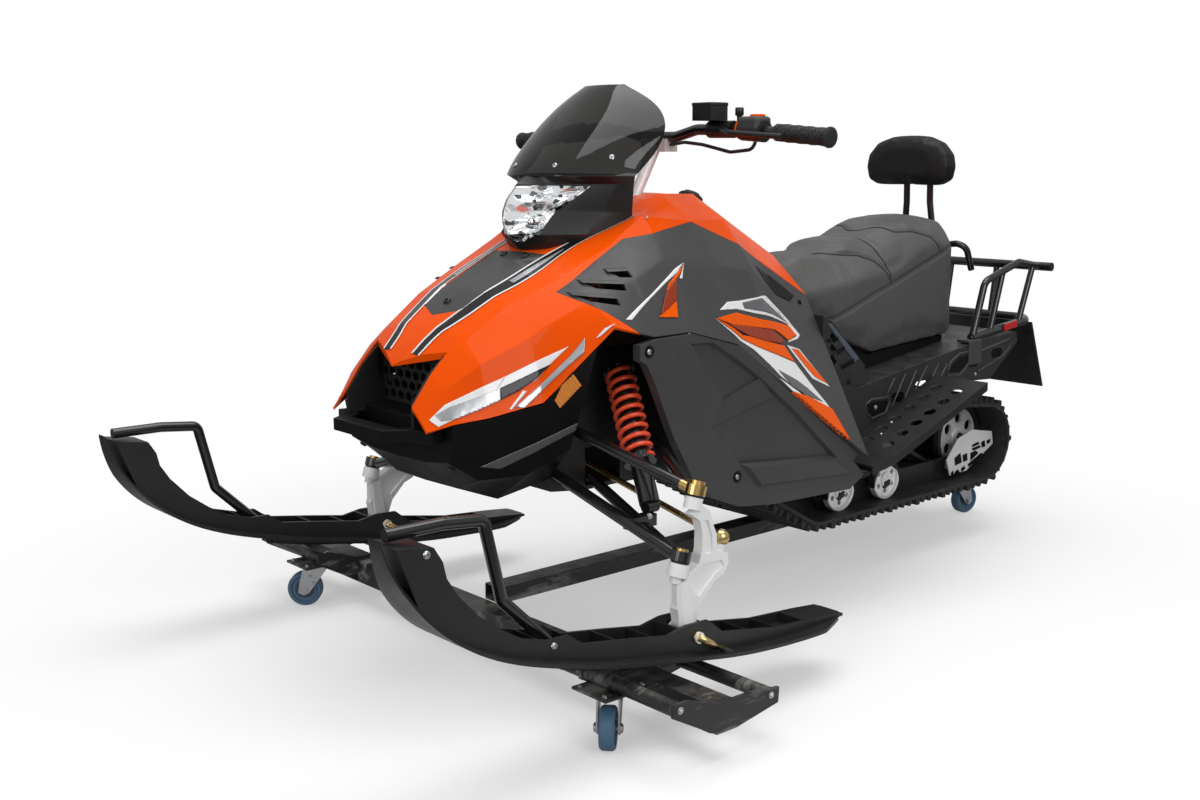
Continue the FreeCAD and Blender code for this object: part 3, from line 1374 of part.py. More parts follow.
feature("track", track_shape())
feature("slide_rails", both_sides(slide_rails()))
feature("rear_suspension", rear_suspension())
low_axle = belt_top + S.bogie_diameter / 2 + FIT
bogie_reach = S.bogie_x + S.bogie_width / 2 + 4
together([
    axle_with_wheels(f"bogie_{number}", S.bogie_diameter / 2, S.bogie_width, S.bogie_x, Vector(0, y, low_axle), 9, bogie_reach, 6)
    for number, y in enumerate(BOGIES_Y)
], "bogie_wheels")
rear_axle = axle_with_wheels("rear_idlers", S.idler_z - belt_top - FIT, S.bogie_width, S.idler_x,
                             Vector(0, S.idler_y, S.idler_z), 10, S.idler_plate_x - FIT, 14)
keep(rear_axle, "rear_idlers")
front_axle = axle_with_wheels("drive_axle", S.sprocket_radius - S.belt_thickness - FIT, S.bogie_width, S.sprocket_x,
                              Vector(0, S.sprocket_y, S.sprocket_z), 12, S.tunnel_width / 2 - S.tunnel_sheet - FIT, 13)
keep(front_axle, "drive_axle")
with_mirror(idler_plate(), "idler_plates")

keep(tunnel(), "tunnel")
with_mirror(running_board(), "running_boards")
feature("rear_rack", rack_shape())
flap = new_body("mud_flap")
pad(flap, sketch(flap, "YZ_Plane", [(1043.5, 541), (1050, 541), (S.rear_end_y, 366), (S.rear_end_y - 6, 366)]), "Sizes.mud_flap_width")
keep(flap, "mud_flap")
feature("seat", seat_shape())
keep(seat_base(), "seat_base")
backrest_pad, backrest_frame = backrest()
feature("backrest_pad", backrest_pad)
feature("backrest_frame", backrest_frame)

hood, insert, sides, cowl = bodywork()
feature("hood", hood)
feature("hood_insert", insert)
feature("upper_side_panels", with_louvres(sides))
with_mirror(knee_panel(), "knee_panels")
feature("tank_cowl", cowl)
feature("lower_side_panels", both_sides(lower_panel()))
feature("belly_pan", belly_pan())
keep(nose_bumper(), "nose_bumper")
feature("grille", grille_shape())
feature("headlight", headlight_shape())
feature("headlight_pod", pod_shape())
feature("windscreen", windscreen_shape())
engine = new_body("engine_block", Placement(Vector(0, -210, SUBFRAME_FLOOR + FIT), Rotation()))
pad(engine, sketch(engine, "XY_Plane", [(-135, -100), (135, -100), (135, 100), (-135, 100)]), 250, both_ways=False)
keep(engine, "engine_block")
feature("front_subframe", subframe_shape())

keep(fuel_cap(), "fuel_cap")
with_mirror(marker_lamp(), "marker_lamps")
with_mirror(side_reflector(), "side_reflectors")
bar, grips, riser, controls = handlebar_shapes()
feature("brake_cable", brake_cable())
feature("handlebar", bar)
feature("grips", grips)
feature("steering_riser", riser)
feature("controls", controls)

doc.recompute()
for thing in doc.Objects:
    bad = [word for word in ("Invalid", "Error") if word in thing.State]
    if bad:
        raise RuntimeError(f"{thing.Name} is {bad}")

os.makedirs("parts", exist_ok=True)
for thing in subparts:
    shape = thing.Shape
    if shape.isNull() or not shape.isValid():
        raise RuntimeError(f"{thing.Label} has no valid shape")
    shape.exportStep(os.path.join("parts", thing.Label + ".step"))
    print(thing.Label, len(shape.Solids), "solids", round(shape.Volume / 1000), "cm3")
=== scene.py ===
import json
import math

import bmesh
import bpy
from mathutils import Matrix, Vector
from mathutils.bvhtree import BVHTree
from mathutils.kdtree import KDTree


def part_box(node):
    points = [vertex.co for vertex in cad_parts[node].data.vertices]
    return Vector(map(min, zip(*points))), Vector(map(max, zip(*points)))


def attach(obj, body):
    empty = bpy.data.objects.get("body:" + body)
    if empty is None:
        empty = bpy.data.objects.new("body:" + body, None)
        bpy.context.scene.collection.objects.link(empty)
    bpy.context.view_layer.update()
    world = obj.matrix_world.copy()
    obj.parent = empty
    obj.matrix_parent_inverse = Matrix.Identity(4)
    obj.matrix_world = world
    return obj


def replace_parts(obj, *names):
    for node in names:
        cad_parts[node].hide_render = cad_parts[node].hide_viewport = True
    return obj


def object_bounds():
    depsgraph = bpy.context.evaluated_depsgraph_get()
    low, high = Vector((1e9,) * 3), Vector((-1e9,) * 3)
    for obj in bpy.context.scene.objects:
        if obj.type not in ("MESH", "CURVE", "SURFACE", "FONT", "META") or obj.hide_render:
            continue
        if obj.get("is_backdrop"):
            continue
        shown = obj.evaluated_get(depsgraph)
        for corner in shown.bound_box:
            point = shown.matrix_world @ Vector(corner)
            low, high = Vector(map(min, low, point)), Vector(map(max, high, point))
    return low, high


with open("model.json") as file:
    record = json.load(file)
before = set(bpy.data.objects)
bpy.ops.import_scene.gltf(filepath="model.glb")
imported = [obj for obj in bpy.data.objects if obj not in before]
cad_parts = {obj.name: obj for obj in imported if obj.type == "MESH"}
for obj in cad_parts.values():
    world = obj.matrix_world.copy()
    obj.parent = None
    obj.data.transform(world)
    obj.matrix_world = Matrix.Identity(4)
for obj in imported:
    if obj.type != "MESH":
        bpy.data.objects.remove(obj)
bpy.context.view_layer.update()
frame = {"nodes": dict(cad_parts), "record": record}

NODES = frame["nodes"]
MM = 0.001


def mm(x, y, z):
    return Vector((x, y, z)) * MM


def on_side(corners, sign):
    """Corners in millimetres, given for the left, on the side with that sign."""
    return [mm(sign * x, y, z) for x, y, z in corners]


def add_object(name, data):
    made = bpy.data.objects.new(name, data)
    bpy.context.scene.collection.objects.link(made)
    return made


def modifier(obj, name, kind, **values):
    made = obj.modifiers.new(name, kind)
    for key, value in values.items():
        setattr(made, key, value)
    return made


# Camera

VIEW_WAY = Vector((-0.7406, 0.6480, -0.1778))
ROLL = math.radians(-0.2)

camera_data = bpy.data.cameras.new("camera")
camera = add_object("camera", camera_data)
camera.location = mm(2115, -2115, 979)
camera.rotation_mode = "QUATERNION"
turn = VIEW_WAY.to_track_quat("-Z", "Y").to_matrix() @ Matrix.Rotation(ROLL, 3, "Z")
camera.rotation_quaternion = turn.to_quaternion()
camera_data.lens = 41.42
camera_data.sensor_width = 36.0
camera_data.clip_start = 0.05
camera_data.clip_end = 60.0
bpy.context.scene.camera = camera


# Node trees


def feed(tree, target, value):
    """Links an output, or sets a plain number, word or colour."""
    if isinstance(value, bpy.types.NodeSocket):
        tree.links.new(value, target)
    elif target.type == "RGBA" and len(value) == 3:
        target.default_value = (*value, 1)
    else:
        target.default_value = value


def add_node(tree, kind, feeds=(), **values):
    """New node with its settings; feeds maps its inputs, by name or number, to what they get."""
    made = tree.nodes.new(kind)
    for key, value in values.items():
        setattr(made, key, value)
    for key, value in dict(feeds).items():
        feed(tree, made.inputs[key], value)
    return made


def calc(tree, operation, first, second=0.0):
    return add_node(tree, "ShaderNodeMath", {0: first, 1: second}, operation=operation).outputs[0]


# Shaders

MATERIALS = {}
DUST = (0.28, 0.26, 0.23)
TONE_SWING = 0.15
GLOSS_SWING = 0.08
SCUFF_ROUGH = 0.75


class Surface:
    """A material under construction, with one Principled shader and its inputs."""

    def __init__(self, name, colour, rough, metal=0.0, coat=0.0, coat_rough=0.04, specular=0.5):
        self.made = bpy.data.materials.new(name)
        self.made.use_nodes = True
        self.tree = self.made.node_tree
        self.shader = self.tree.nodes["Principled BSDF"]
        self.colour = colour
        self.rough = rough
        self.relief = None
        self.where = self.node("ShaderNodeTexCoord").outputs["Object"]
        for socket, value in (
            ("Base Color", colour), ("Roughness", rough), ("Metallic", metal), ("Coat Weight", coat),
            ("Coat Roughness", coat_rough), ("Specular IOR Level", specular),
        ):
            self.feed(socket, value)
        MATERIALS[name] = self.made

    def feed(self, socket, value):
        feed(self.tree, self.shader.inputs[socket], value)

    def node(self, kind, feeds=(), **values):
        return add_node(self.tree, kind, feeds, **values)

    def math(self, operation, first, second=0.0):
        return calc(self.tree, operation, first, second)

    def fold(self, operation, values):
        """One value out of several, such as the smallest."""
        total = values[0]
        for value in values[1:]:
            total = self.math(operation, total, value)
        return total

    def stretched(self, scales):
        return self.node("ShaderNodeMapping", {"Vector": self.where, "Scale": scales}).outputs["Vector"]

    def noise(self, scale, detail, rough=0.55, where=None, distortion=0.0):
        return self.node("ShaderNodeTexNoise", {
            "Vector": where or self.where, "Scale": scale, "Detail": detail, "Roughness": rough,
            "Distortion": distortion,
        }).outputs["Fac"]

    def cells(self, scale):
        return self.node("ShaderNodeTexVoronoi", {"Vector": self.where, "Scale": scale}).outputs["Distance"]

    def span(self, value, low, high, to_low=0.0, to_high=1.0):
        feeds = {"Value": value, "From Min": low, "From Max": high, "To Min": to_low, "To Max": to_high}
        return self.node("ShaderNodeMapRange", feeds).outputs["Result"]

    def blend(self, share, first, second):
        return self.node("ShaderNodeMix", {0: share, 6: first, 7: second}, data_type="RGBA").outputs[2]

    def vector(self, operation, first, second=(0, 0, 0)):
        return self.node("ShaderNodeVectorMath", {0: first, 1: second}, operation=operation).outputs

    def reach(self, place, axle=None):
        """Distance from a place, or from the axle through it."""
        offset = self.vector("SUBTRACT", self.where, place)[0]
        if axle:
            offset = self.vector("CROSS_PRODUCT", offset, axle)[0]
        return self.vector("LENGTH", offset)["Value"]

    def upness(self):
        """How far a surface faces up, from 0 on a wall to 1 on a floor."""
        normal = self.node("ShaderNodeNewGeometry").outputs["Normal"]
        return self.span(self.node("ShaderNodeSeparateXYZ", {0: normal}).outputs["Z"], 0.2, 0.9)

    def cover(self, share, colour):
        """Lays a colour over the tone so far."""
        self.tone = self.blend(share, self.tone, colour)
        self.feed("Base Color", self.tone)

    def vary(self):
        """Gentle uneven tone and gloss over the whole surface."""
        low = tuple(c * (1 - TONE_SWING) for c in self.colour)
        high = tuple(min(1.0, c * (1 + TONE_SWING)) for c in self.colour)
        self.tone = self.blend(self.noise(7.0, 4.0), low, high)
        self.feed("Base Color", self.tone)
        smears = self.noise(21.7, 3.0)
        self.gloss = self.span(smears, 0.25, 0.75, self.rough - GLOSS_SWING, self.rough + GLOSS_SWING)
        self.feed("Roughness", self.gloss)
        return self

    def grain(self, scale, depth, leather=False):
        """Fine moulded, cast or leather texture, depth in millimetres."""
        height = self.cells(scale) if leather else self.noise(scale, 2.0)
        feeds = {"Strength": 1.0, "Distance": depth * MM, "Height": height}
        if self.relief is not None:
            feeds["Normal"] = self.relief
        self.relief = self.node("ShaderNodeBump", feeds).outputs["Normal"]
        self.feed("Normal", self.relief)
        return self

    def scuffs(self, colour, low, high, scale, stretch=(1, 1, 1)):
        """Rubbed and scratched patches where the noise passes low."""
        share = self.span(self.noise(scale, 6.0, 0.7, self.stretched(stretch), 0.4), low, high)
        self.cover(share, colour)
        self.gloss = self.math("ADD", self.gloss, self.math("MULTIPLY", share, SCUFF_ROUGH - self.rough))
        self.feed("Roughness", self.gloss)
        return self

    def dust(self, amount):
        """Dry dust that lies on what faces up."""
        patches = self.span(self.noise(30.0, 5.0, 0.65), 0.4, 0.75, 0.0, amount)
        self.cover(self.math("MULTIPLY", self.upness(), patches), DUST)
        return self


def material(name, *args, **values):
    return Surface(name, *args, **values).vary()


dolly = material("dolly_paint", (0.014, 0.014, 0.0145), 0.4)
dolly.scuffs((0.19, 0.185, 0.175), 0.53, 0.64, 16, (1, 0.22, 1)).scuffs((0.16, 0.09, 0.05), 0.66, 0.72, 34)
dolly.dust(0.35).grain(260, 0.4)
material("caster_steel", (0.46, 0.47, 0.48), 0.34, metal=1.0).scuffs(
    (0.2, 0.19, 0.18), 0.58, 0.7, 60
).grain(500, 0.08)
material("black_plastic", (0.0125, 0.0127, 0.0132), 0.4).grain(2200, 0.12)
material("belly_plastic", (0.005, 0.005, 0.0053), 0.42, specular=0.16).grain(2200, 0.12)
material("satin_panel", (0.052, 0.052, 0.053), 0.42).grain(2200, 0.12)
material("tunnel_paint", (0.026, 0.026, 0.027), 0.36).dust(0.18).grain(900, 0.1)
material("gloss_tube", (0.0085, 0.0085, 0.009), 0.2, coat=0.5).grain(700, 0.05)
material("cast_aluminium", (0.93, 0.94, 0.96), 0.32, metal=0.1).grain(420, 0.16)
material("plated_steel", (0.62, 0.46, 0.21), 0.27, metal=1.0).scuffs(
    (0.25, 0.2, 0.12), 0.6, 0.7, 90
).grain(300, 0.04)
material("frame_paint", (0.013, 0.013, 0.014), 0.38).dust(0.12).grain(900, 0.1)
material("spring_red", (1.0, 0.085, 0.022), 0.3, coat=0.35).grain(500, 0.04)
material("track_rubber", (0.014, 0.0138, 0.0135), 0.62).scuffs(
    (0.06, 0.058, 0.054), 0.55, 0.75, 45
).grain(600, 0.3)
material("dark_panel", (0.047, 0.047, 0.047), 0.45).grain(2600, 0.14)
material("orange_gloss", (0.95, 0.088, 0.0), 0.3, coat=0.1, coat_rough=0.03, specular=0.05).grain(60, 0.04)
material("seat_leather", (0.084, 0.083, 0.081), 0.46).grain(950, 0.35, leather=True).grain(140, 0.5)
material("pad_leather", (0.007, 0.007, 0.007), 0.44, specular=0.3).grain(
    950, 0.2, leather=True
).grain(140, 0.3)
material("grip_rubber", (0.013, 0.013, 0.0132), 0.6).grain(230, 1.2, leather=True)
material("engine_grey", (0.12, 0.12, 0.12), 0.6, metal=0.6).grain(300, 0.5)
material("flap_rubber", (0.012, 0.012, 0.0122), 0.5).scuffs(
    (0.05, 0.05, 0.048), 0.6, 0.8, 20
).grain(500, 0.2)
material("cable_rubber", (0.01, 0.01, 0.0105), 0.42).grain(900, 0.1)
material("white_plates", (0.7, 0.7, 0.69), 0.34).scuffs((0.3, 0.29, 0.28), 0.62, 0.8, 38).grain(500, 0.1)
material("amber_lens", (1.0, 0.29, 0.01), 0.2, coat=0.6).grain(500, 0.3)
material("red_lens", (0.62, 0.006, 0.008), 0.2, coat=1.0).grain(500, 0.3)
material("bolt_steel", (0.5, 0.5, 0.5), 0.3, metal=1.0).grain(500, 0.05)
material("bolt_black", (0.016, 0.016, 0.017), 0.34, metal=0.3).grain(500, 0.05)
material("chrome", (0.86, 0.87, 0.88), 0.07, metal=1.0).grain(30, 0.4)
facets = material("chrome_facets", (0.9, 0.91, 0.92), 0.1, metal=0.9)
# Painted reflection: random cells of the chrome are painted near black, standing in for facets that reflect
# dark surroundings.
painted_reflection_cells = facets.node("ShaderNodeTexVoronoi", {"Vector": facets.stretched((1.0, 1.0, 1.6)), "Scale": 85})
red = facets.node("ShaderNodeSeparateColor", {0: painted_reflection_cells.outputs["Color"]}).outputs[0]
facets.feed("Base Color", facets.blend(facets.span(red, 0.12, 0.3), (0.05, 0.05, 0.055), facets.tone))
material("vinyl_white", (0.9, 0.9, 0.91), 0.26, coat=0.3).grain(80, 0.04)
material("vinyl_black", (0.007, 0.007, 0.008), 0.26, coat=0.2, specular=0.3).grain(80, 0.04)
material("vinyl_grey", (0.11, 0.11, 0.12), 0.28, coat=0.3).grain(80, 0.04)
material("vinyl_silver", (0.42, 0.43, 0.45), 0.28, metal=0.5, coat=0.8).grain(80, 0.04)
material("vinyl_orange", (0.96, 0.11, 0.0), 0.3, coat=0.1, specular=0.05).grain(80, 0.04)
material("vinyl_red", (0.3, 0.035, 0.008), 0.28, coat=0.15, specular=0.2).grain(80, 0.04)
material("trim_blue", (0.085, 0.105, 0.14), 0.4).grain(900, 0.1)


def glass(name, colour, ior=1.46):
    """Clear or smoked plastic, with faint smears."""
    rough = 0.02
    made = Surface(name, colour, rough)
    made.feed("Transmission Weight", 1.0)
    made.feed("IOR", ior)
    made.feed("Roughness", made.span(made.noise(9, 4.0), 0.3, 0.8, rough, rough + 0.03))
    made.feed("Base Color", made.blend(made.noise(5, 3.0), tuple(c * 0.86 for c in colour), colour))


glass("smoke_screen", (0.028, 0.027, 0.025), 1.4)
glass("lamp_clear", (0.95, 0.96, 0.97))

RUBBER = (0.013, 0.013, 0.013)
BEARING_RADIUS = 0.0125


def wheel_material(name, colour, axles, rim_start):
    """Metal discs with a rubber rim that begins rim_start metres from the nearest axle, a (y, z) pair."""
    made = material(name, colour, 0.3, metal=0.35)
    nearest = made.fold("MINIMUM", [made.reach((0, y, z), (1, 0, 0)) for y, z in axles])
    rim = made.math("GREATER_THAN", nearest, rim_start)
    made.scuffs((0.3, 0.29, 0.28), 0.6, 0.8, 60)
    made.cover(made.math("MAXIMUM", rim, made.math("LESS_THAN", nearest, BEARING_RADIUS)), RUBBER)
    made.feed("Metallic", made.span(rim, 0, 1, 0.35, 0.0))
    made.feed("Roughness", made.span(rim, 0, 1, 0.32, 0.62))
    made.grain(400, 0.1)


wheel_material("wheel_silver", (0.9, 0.91, 0.92), [(0.330, 0.1968), (0.500, 0.1968)], 0.0455)
wheel_material("idler_silver", (0.9, 0.9, 0.9), [(0.872, 0.250)], 0.0745)

BRASS = (0.66, 0.44, 0.16)


def joint_material(name, colour, rough, spots, **values):
    """Yellow plated metal within reach of each spot, a place and reach that count on both sides."""
    made = material(name, colour, rough, **values)
    inside = made.fold("MAXIMUM", [
        made.math("LESS_THAN", made.reach((sign * x, y, z)), reach)
        for (x, y, z), reach in spots for sign in (1, -1)
    ])
    made.cover(inside, BRASS)
    made.feed("Metallic", inside)
    made.grain(700, 0.05)


UPPER_JOINT = Vector((0.490, -0.475, 0.406))
LOWER_JOINT = Vector((0.490, -0.510, 0.295))
STACK = (UPPER_JOINT - LOWER_JOINT).normalized()
joint_material("upper_arm_paint", (0.0085, 0.0085, 0.009), 0.24, [(UPPER_JOINT, 0.034)], coat=0.4)
joint_material("spindle_cast", (0.97, 0.975, 0.98), 0.34, [
    (UPPER_JOINT + STACK * 0.014, 0.0165), (LOWER_JOINT + STACK * 0.010, 0.016),
])

# The way each caster's fork points, in degrees
CASTERS = {"left": -48, "right": 228, "rear": 80}
HUB_RADIUS = 0.021


def caster_tyre(side, angle):
    """Blue tyre round a darker hub, told apart by the distance from the wheel's own axle."""
    made = material(f"caster_tyre_{side}", (0.062, 0.125, 0.21), 0.45)
    low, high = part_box(f"caster_wheel_{side}")
    radius = made.reach((low + high) / 2, (-math.sin(angle), math.cos(angle), 0))
    made.scuffs((0.12, 0.14, 0.16), 0.55, 0.75, 70)
    made.cover(made.math("LESS_THAN", radius, HUB_RADIUS), (0.03, 0.06, 0.11))
    made.grain(500, 0.2)


# Which material each CAD node takes, where it isn't the one of its slot

NODE_COVERS = {
    "belly_pan": "belly_plastic", "nose_bumper": "belly_plastic", "lower_side_panels": "satin_panel",
    "knee_panels": "tunnel_paint", "tunnel": "tunnel_paint", "rear_idlers": "idler_silver",
    "seat_base": "belly_plastic", "upper_arms": "upper_arm_paint", "spindle_left": "spindle_cast",
    "spindle_right": "spindle_cast",
}
for side, degrees in CASTERS.items():
    caster_tyre(side, math.radians(degrees))
    NODE_COVERS[f"caster_wheel_{side}"] = f"caster_tyre_{side}"
for row in frame["record"]["subparts"]:
    covers = NODES[row["node"]].data.materials
    covers.clear()
    covers.append(MATERIALS[NODE_COVERS.get(row["node"], row["material_slot"])])


# Smooth panels: faces meet without facets unless their edge is a real one

FACET_ANGLE = math.radians(31)
WELD_DISTANCE = 0.00003


def smooth_group():
    group = bpy.data.node_groups.new("smooth_panels", "GeometryNodeTree")
    for way in ("INPUT", "OUTPUT"):
        group.interface.new_socket("Geometry", in_out=way, socket_type="NodeSocketGeometry")
    angle = add_node(group, "GeometryNodeInputMeshEdgeAngle").outputs["Unsigned Angle"]
    flat = add_node(
        group, "FunctionNodeCompare", {0: angle, 1: FACET_ANGLE}, data_type="FLOAT", operation="LESS_THAN"
    ).outputs[0]
    last = add_node(group, "NodeGroupInput")
    for kind, feeds, values in (
        ("GeometryNodeMergeByDistance", {"Distance": WELD_DISTANCE}, {}),
        ("GeometryNodeRemoveAttribute", {"Name": "custom_normal"}, {}),
        ("GeometryNodeSetShadeSmooth", {}, {}),
        ("GeometryNodeSetShadeSmooth", {"Shade Smooth": flat}, {"domain": "EDGE"}),
        ("NodeGroupOutput", {}, {}),
    ):
        last = add_node(group, kind, {0: last.outputs[0], **feeds}, **values)
    return group


SMOOTH = smooth_group()
for node in NODES.values():
    modifier(node, "smooth", "NODES", node_group=SMOOTH)


# Softened edges on the CAD nodes, each with its width in millimetres

SOFT_EDGES = {
    "hood": 1.2, "hood_insert": 1.0, "upper_side_panels": 1.0, "tank_cowl": 1.5, "lower_side_panels": 2.0,
    "belly_pan": 2.0, "nose_bumper": 3.0, "headlight_pod": 2.0, "ski_left": 1.5, "ski_right": 1.5,
    "spindle_left": 1.5, "spindle_right": 1.5, "dolly_crossbar": 1.5, "dolly_rail": 1.5, "controls": 1.5,
    "steering_riser": 1.5, "knee_panels": 1.5, "seat_base": 2.0, "running_boards": 1.0, "tunnel": 0.8,
    "slide_rails": 1.0, "idler_plates": 0.8, "caster_plates": 0.8, "mud_flap": 1.5, "ski_cradles": 1.0,
    "fuel_cap": 1.0, "marker_lamps": 0.8, "side_reflectors": 0.8, "engine_block": 3.0,
    "backrest_frame": 0.5, "grille": 0.6,
}
for label, width in SOFT_EDGES.items():
    modifier(
        NODES[label], "edges", "BEVEL", width=width * MM, segments=2, limit_method="ANGLE",
        angle_limit=math.radians(32), harden_normals=True,
    )


# Mesh helpers


def mesh_from(name, bm, smooth=False):
    mesh = bpy.data.meshes.new(name)
    bm.to_mesh(mesh)
    bm.free()
    for face in mesh.polygons:
        face.use_smooth = smooth
    return mesh


def piece(name, bm, cover, body, smooth=False):
    """New piece that rides on a body and takes the finish named by cover."""
    made = add_object(name, mesh_from(name, bm, smooth))
    made.data.materials.append(MATERIALS[cover])
    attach(made, body)
    return made


def tree_of(obj):
    data = obj.data
    places = [v.co.copy() for v in data.vertices]
    return BVHTree.FromPolygons(places, [list(p.vertices) for p in data.polygons])


def skin(bm, rows, around=True, caps=True):
    """Faces between neighbouring rows of points, round each row or along it, and over both ends."""
    for low, high in zip(rows, rows[1:]):
        count = len(low)
        for i in range(count if around else count - 1):
            j = (i + 1) % count
            bm.faces.new((low[i], low[j], high[j], high[i]))
    if caps:
        bm.faces.new(rows[0][::-1])
        bm.faces.new(rows[-1])


# Stripes and generic graphics: thin vinyl laid on the panels

GRID = 0.003
VINYL_LIFT = 0.0009
VINYL_THICKNESS = 0.0004
DRAPE_REACH = 0.08


def vinyl(bm, points, tree, sign, lift):
    """Adds one polygon, draped over the panel as seen along the polygon's own normal."""
    middle = sum(points, Vector()) / len(points)
    normal = Vector()
    for a, b in zip(points, points[1:] + points[:1]):
        normal += (a - middle).cross(b - middle)
    normal.normalize()
    if normal.x * sign < 0:
        normal = -normal
    across = normal.cross(Vector((0, 0, 1))).normalized()
    up = normal.cross(across)
    flat = [((p - middle).dot(across), (p - middle).dot(up)) for p in points]
    cut = bmesh.new()
    cut.faces.new([cut.verts.new((a, b, 0)) for a, b in flat])
    for axis in (0, 1):
        low = min(p[axis] for p in flat)
        high = max(p[axis] for p in flat)
        for step in range(1, int((high - low) / GRID) + 1):
            place, way = Vector((0, 0, 0)), Vector((0, 0, 0))
            place[axis] = low + step * GRID
            way[axis] = 1
            bmesh.ops.bisect_plane(
                cut, geom=cut.verts[:] + cut.edges[:] + cut.faces[:], plane_co=place, plane_no=way
            )
    bmesh.ops.triangulate(cut, faces=cut.faces[:])
    cut.verts.index_update()
    placed = {}
    for vert in cut.verts:
        start = middle + across * vert.co.x + up * vert.co.y
        hit, face_normal, _, _ = tree.ray_cast(start + normal * DRAPE_REACH, -normal, 2 * DRAPE_REACH)
        if hit is None:
            hit, face_normal, _, _ = tree.find_nearest(start)
        if face_normal.dot(normal) < 0:
            face_normal = -face_normal
        placed[vert.index] = bm.verts.new(hit + face_normal * lift)
    for face in cut.faces:
        bm.faces.new([placed[v.index] for v in face.verts])
    cut.free()


def laid(name, bm, cover):
    """Thin vinyl, or a patch of painted shade, out of faces that lie on a panel."""
    bmesh.ops.recalc_face_normals(bm, faces=bm.faces[:])
    made = piece(name, bm, cover, "chassis", True)
    modifier(made, "thickness", "SOLIDIFY", thickness=VINYL_THICKNESS, offset=0)


def vinyl_piece(name, cover, label, layer, polygons):
    """One colour of the graphics or of painted shade on both sides of a node; a higher layer lies on a lower
    one.
    """
    tree = tree_of(NODES[label])
    bm = bmesh.new()
    for sign in (1, -1):
        for corners in polygons:
            vinyl(bm, on_side(corners, sign), tree, sign, VINYL_LIFT * layer)
    laid(name, bm, cover)


def upright(x, rows):
    """Corners that all lie x millimetres from the middle, from rows of (y, z)."""
    return [[(x, y, z) for y, z in row] for row in rows]


vinyl_piece("side_white", "vinyl_white", "upper_side_panels", 1, [
    [(244, -267, 769), (249, -294, 760), (267, -370, 719), (292, -458, 680), (291, -442, 678),
     (271, -379, 710), (260, -325, 738), (253, -291, 753)],
    [(244, -266, 769), (259, -284, 740), (258, -291, 742), (254, -282, 750)],
    [(249, -47, 691), (256, -71, 690), (268, -136, 689), (276, -180, 690), (284, -208, 677),
     (277, -151, 674), (272, -99, 662), (263, -38, 649), (244, 39, 624), (242, 39, 629), (248, -36, 685)],
    [(249, -47, 691), (246, -35, 689), (238, 43, 633), (241, 78, 599), (249, 63, 594), (269, 12, 593),
     (269, 8, 596), (247, 60, 599), (247, 25, 631)],
    [(292, -229, 664), (304, -168, 620), (300, -112, 597), (294, -42, 572), (287, 11, 553), (294, 48, 511),
     (304, 93, 462), (307, 103, 449), (313, 45, 473), (314, -17, 507), (313, -62, 537), (309, -93, 564),
     (306, -134, 596), (307, -174, 617)],
    [(275, -2, 589), (262, 52, 574), (277, 135, 487), (286, 69, 513)],
    [(315, -68, 534), (319, -31, 503), (316, 4, 490), (316, -10, 500), (316, -40, 518)],
])
vinyl_piece("side_grey", "vinyl_grey", "upper_side_panels", 2, [
    [(254, -57, 687), (268, -129, 684), (272, -127, 673), (267, -77, 664), (258, -26, 652), (246, 27, 631)],
    [(309, -65, 549), (305, -7, 522), (304, 30, 500), (306, 79, 466), (313, 27, 484), (315, -30, 512)],
])
vinyl_piece("side_orange", "vinyl_orange", "upper_side_panels", 2, [
    [(246, -270, 765), (263, -324, 734), (269, -337, 720), (264, -319, 731), (259, -299, 742),
     (255, -288, 748)],
    [(279, -319, 703), (284, -347, 690), (289, -375, 677), (293, -329, 673)],
    [(292, -225, 663), (281, -160, 668), (273, -72, 646), (247, 35, 622), (247, 59, 601), (268, 11, 596),
     (271, -17, 613), (273, -38, 623), (283, -99, 634), (295, -184, 648)],
    [(292, -226, 663), (298, -187, 643), (300, -160, 625), (293, -120, 619), (289, -66, 602),
     (280, -16, 589), (287, 11, 554), (294, -42, 573), (300, -112, 597), (304, -168, 620)],
    [(273, 13, 581), (265, 45, 573), (276, 128, 495), (282, 80, 515)],
    [(317, -36, 503), (313, 27, 484), (306, 109, 447), (316, 142, 372), (317, 17, 447), (318, -8, 469)],
])
vinyl_piece("side_red", "vinyl_red", "upper_side_panels", 3, [
    [(259, -301, 742), (267, -331, 724), (272, -342, 714), (288, -369, 680), (283, -340, 693),
     (278, -319, 704), (269, -311, 722)],
    [(296, -199, 650), (289, -145, 641), (276, -46, 623), (274, -10, 598), (281, -28, 595), (290, -79, 605),
     (296, -138, 622), (298, -173, 637)],
])

CURVE_STEPS = 24
RIBBON_STEPS = 150


def spline(corners):
    """Smooth curve through the corners, as even places along it."""
    ends = [corners[0] * 2 - corners[1], *corners, corners[-1] * 2 - corners[-2]]
    fine = []
    for i in range(1, len(ends) - 2):
        a, b, c, d = ends[i - 1:i + 3]
        for step in range(CURVE_STEPS):
            t = step / CURVE_STEPS
            bend = (2 * a - 5 * b + 4 * c - d) * t * t
            fine.append(0.5 * (2 * b + (c - a) * t + bend + (3 * b - a - 3 * c + d) * t ** 3))
    fine.append(corners[-1])
    reach = [0.0]
    for a, b in zip(fine, fine[1:]):
        reach.append(reach[-1] + (b - a).length)
    places = []
    at = 0
    for i in range(RIBBON_STEPS + 1):
        wanted = reach[-1] * i / RIBBON_STEPS
        while at < len(fine) - 2 and reach[at + 1] < wanted:
            at += 1
        share = (wanted - reach[at]) / max(reach[at + 1] - reach[at], 1e-9)
        places.append(fine[at].lerp(fine[at + 1], min(share, 1.0)))
    return places


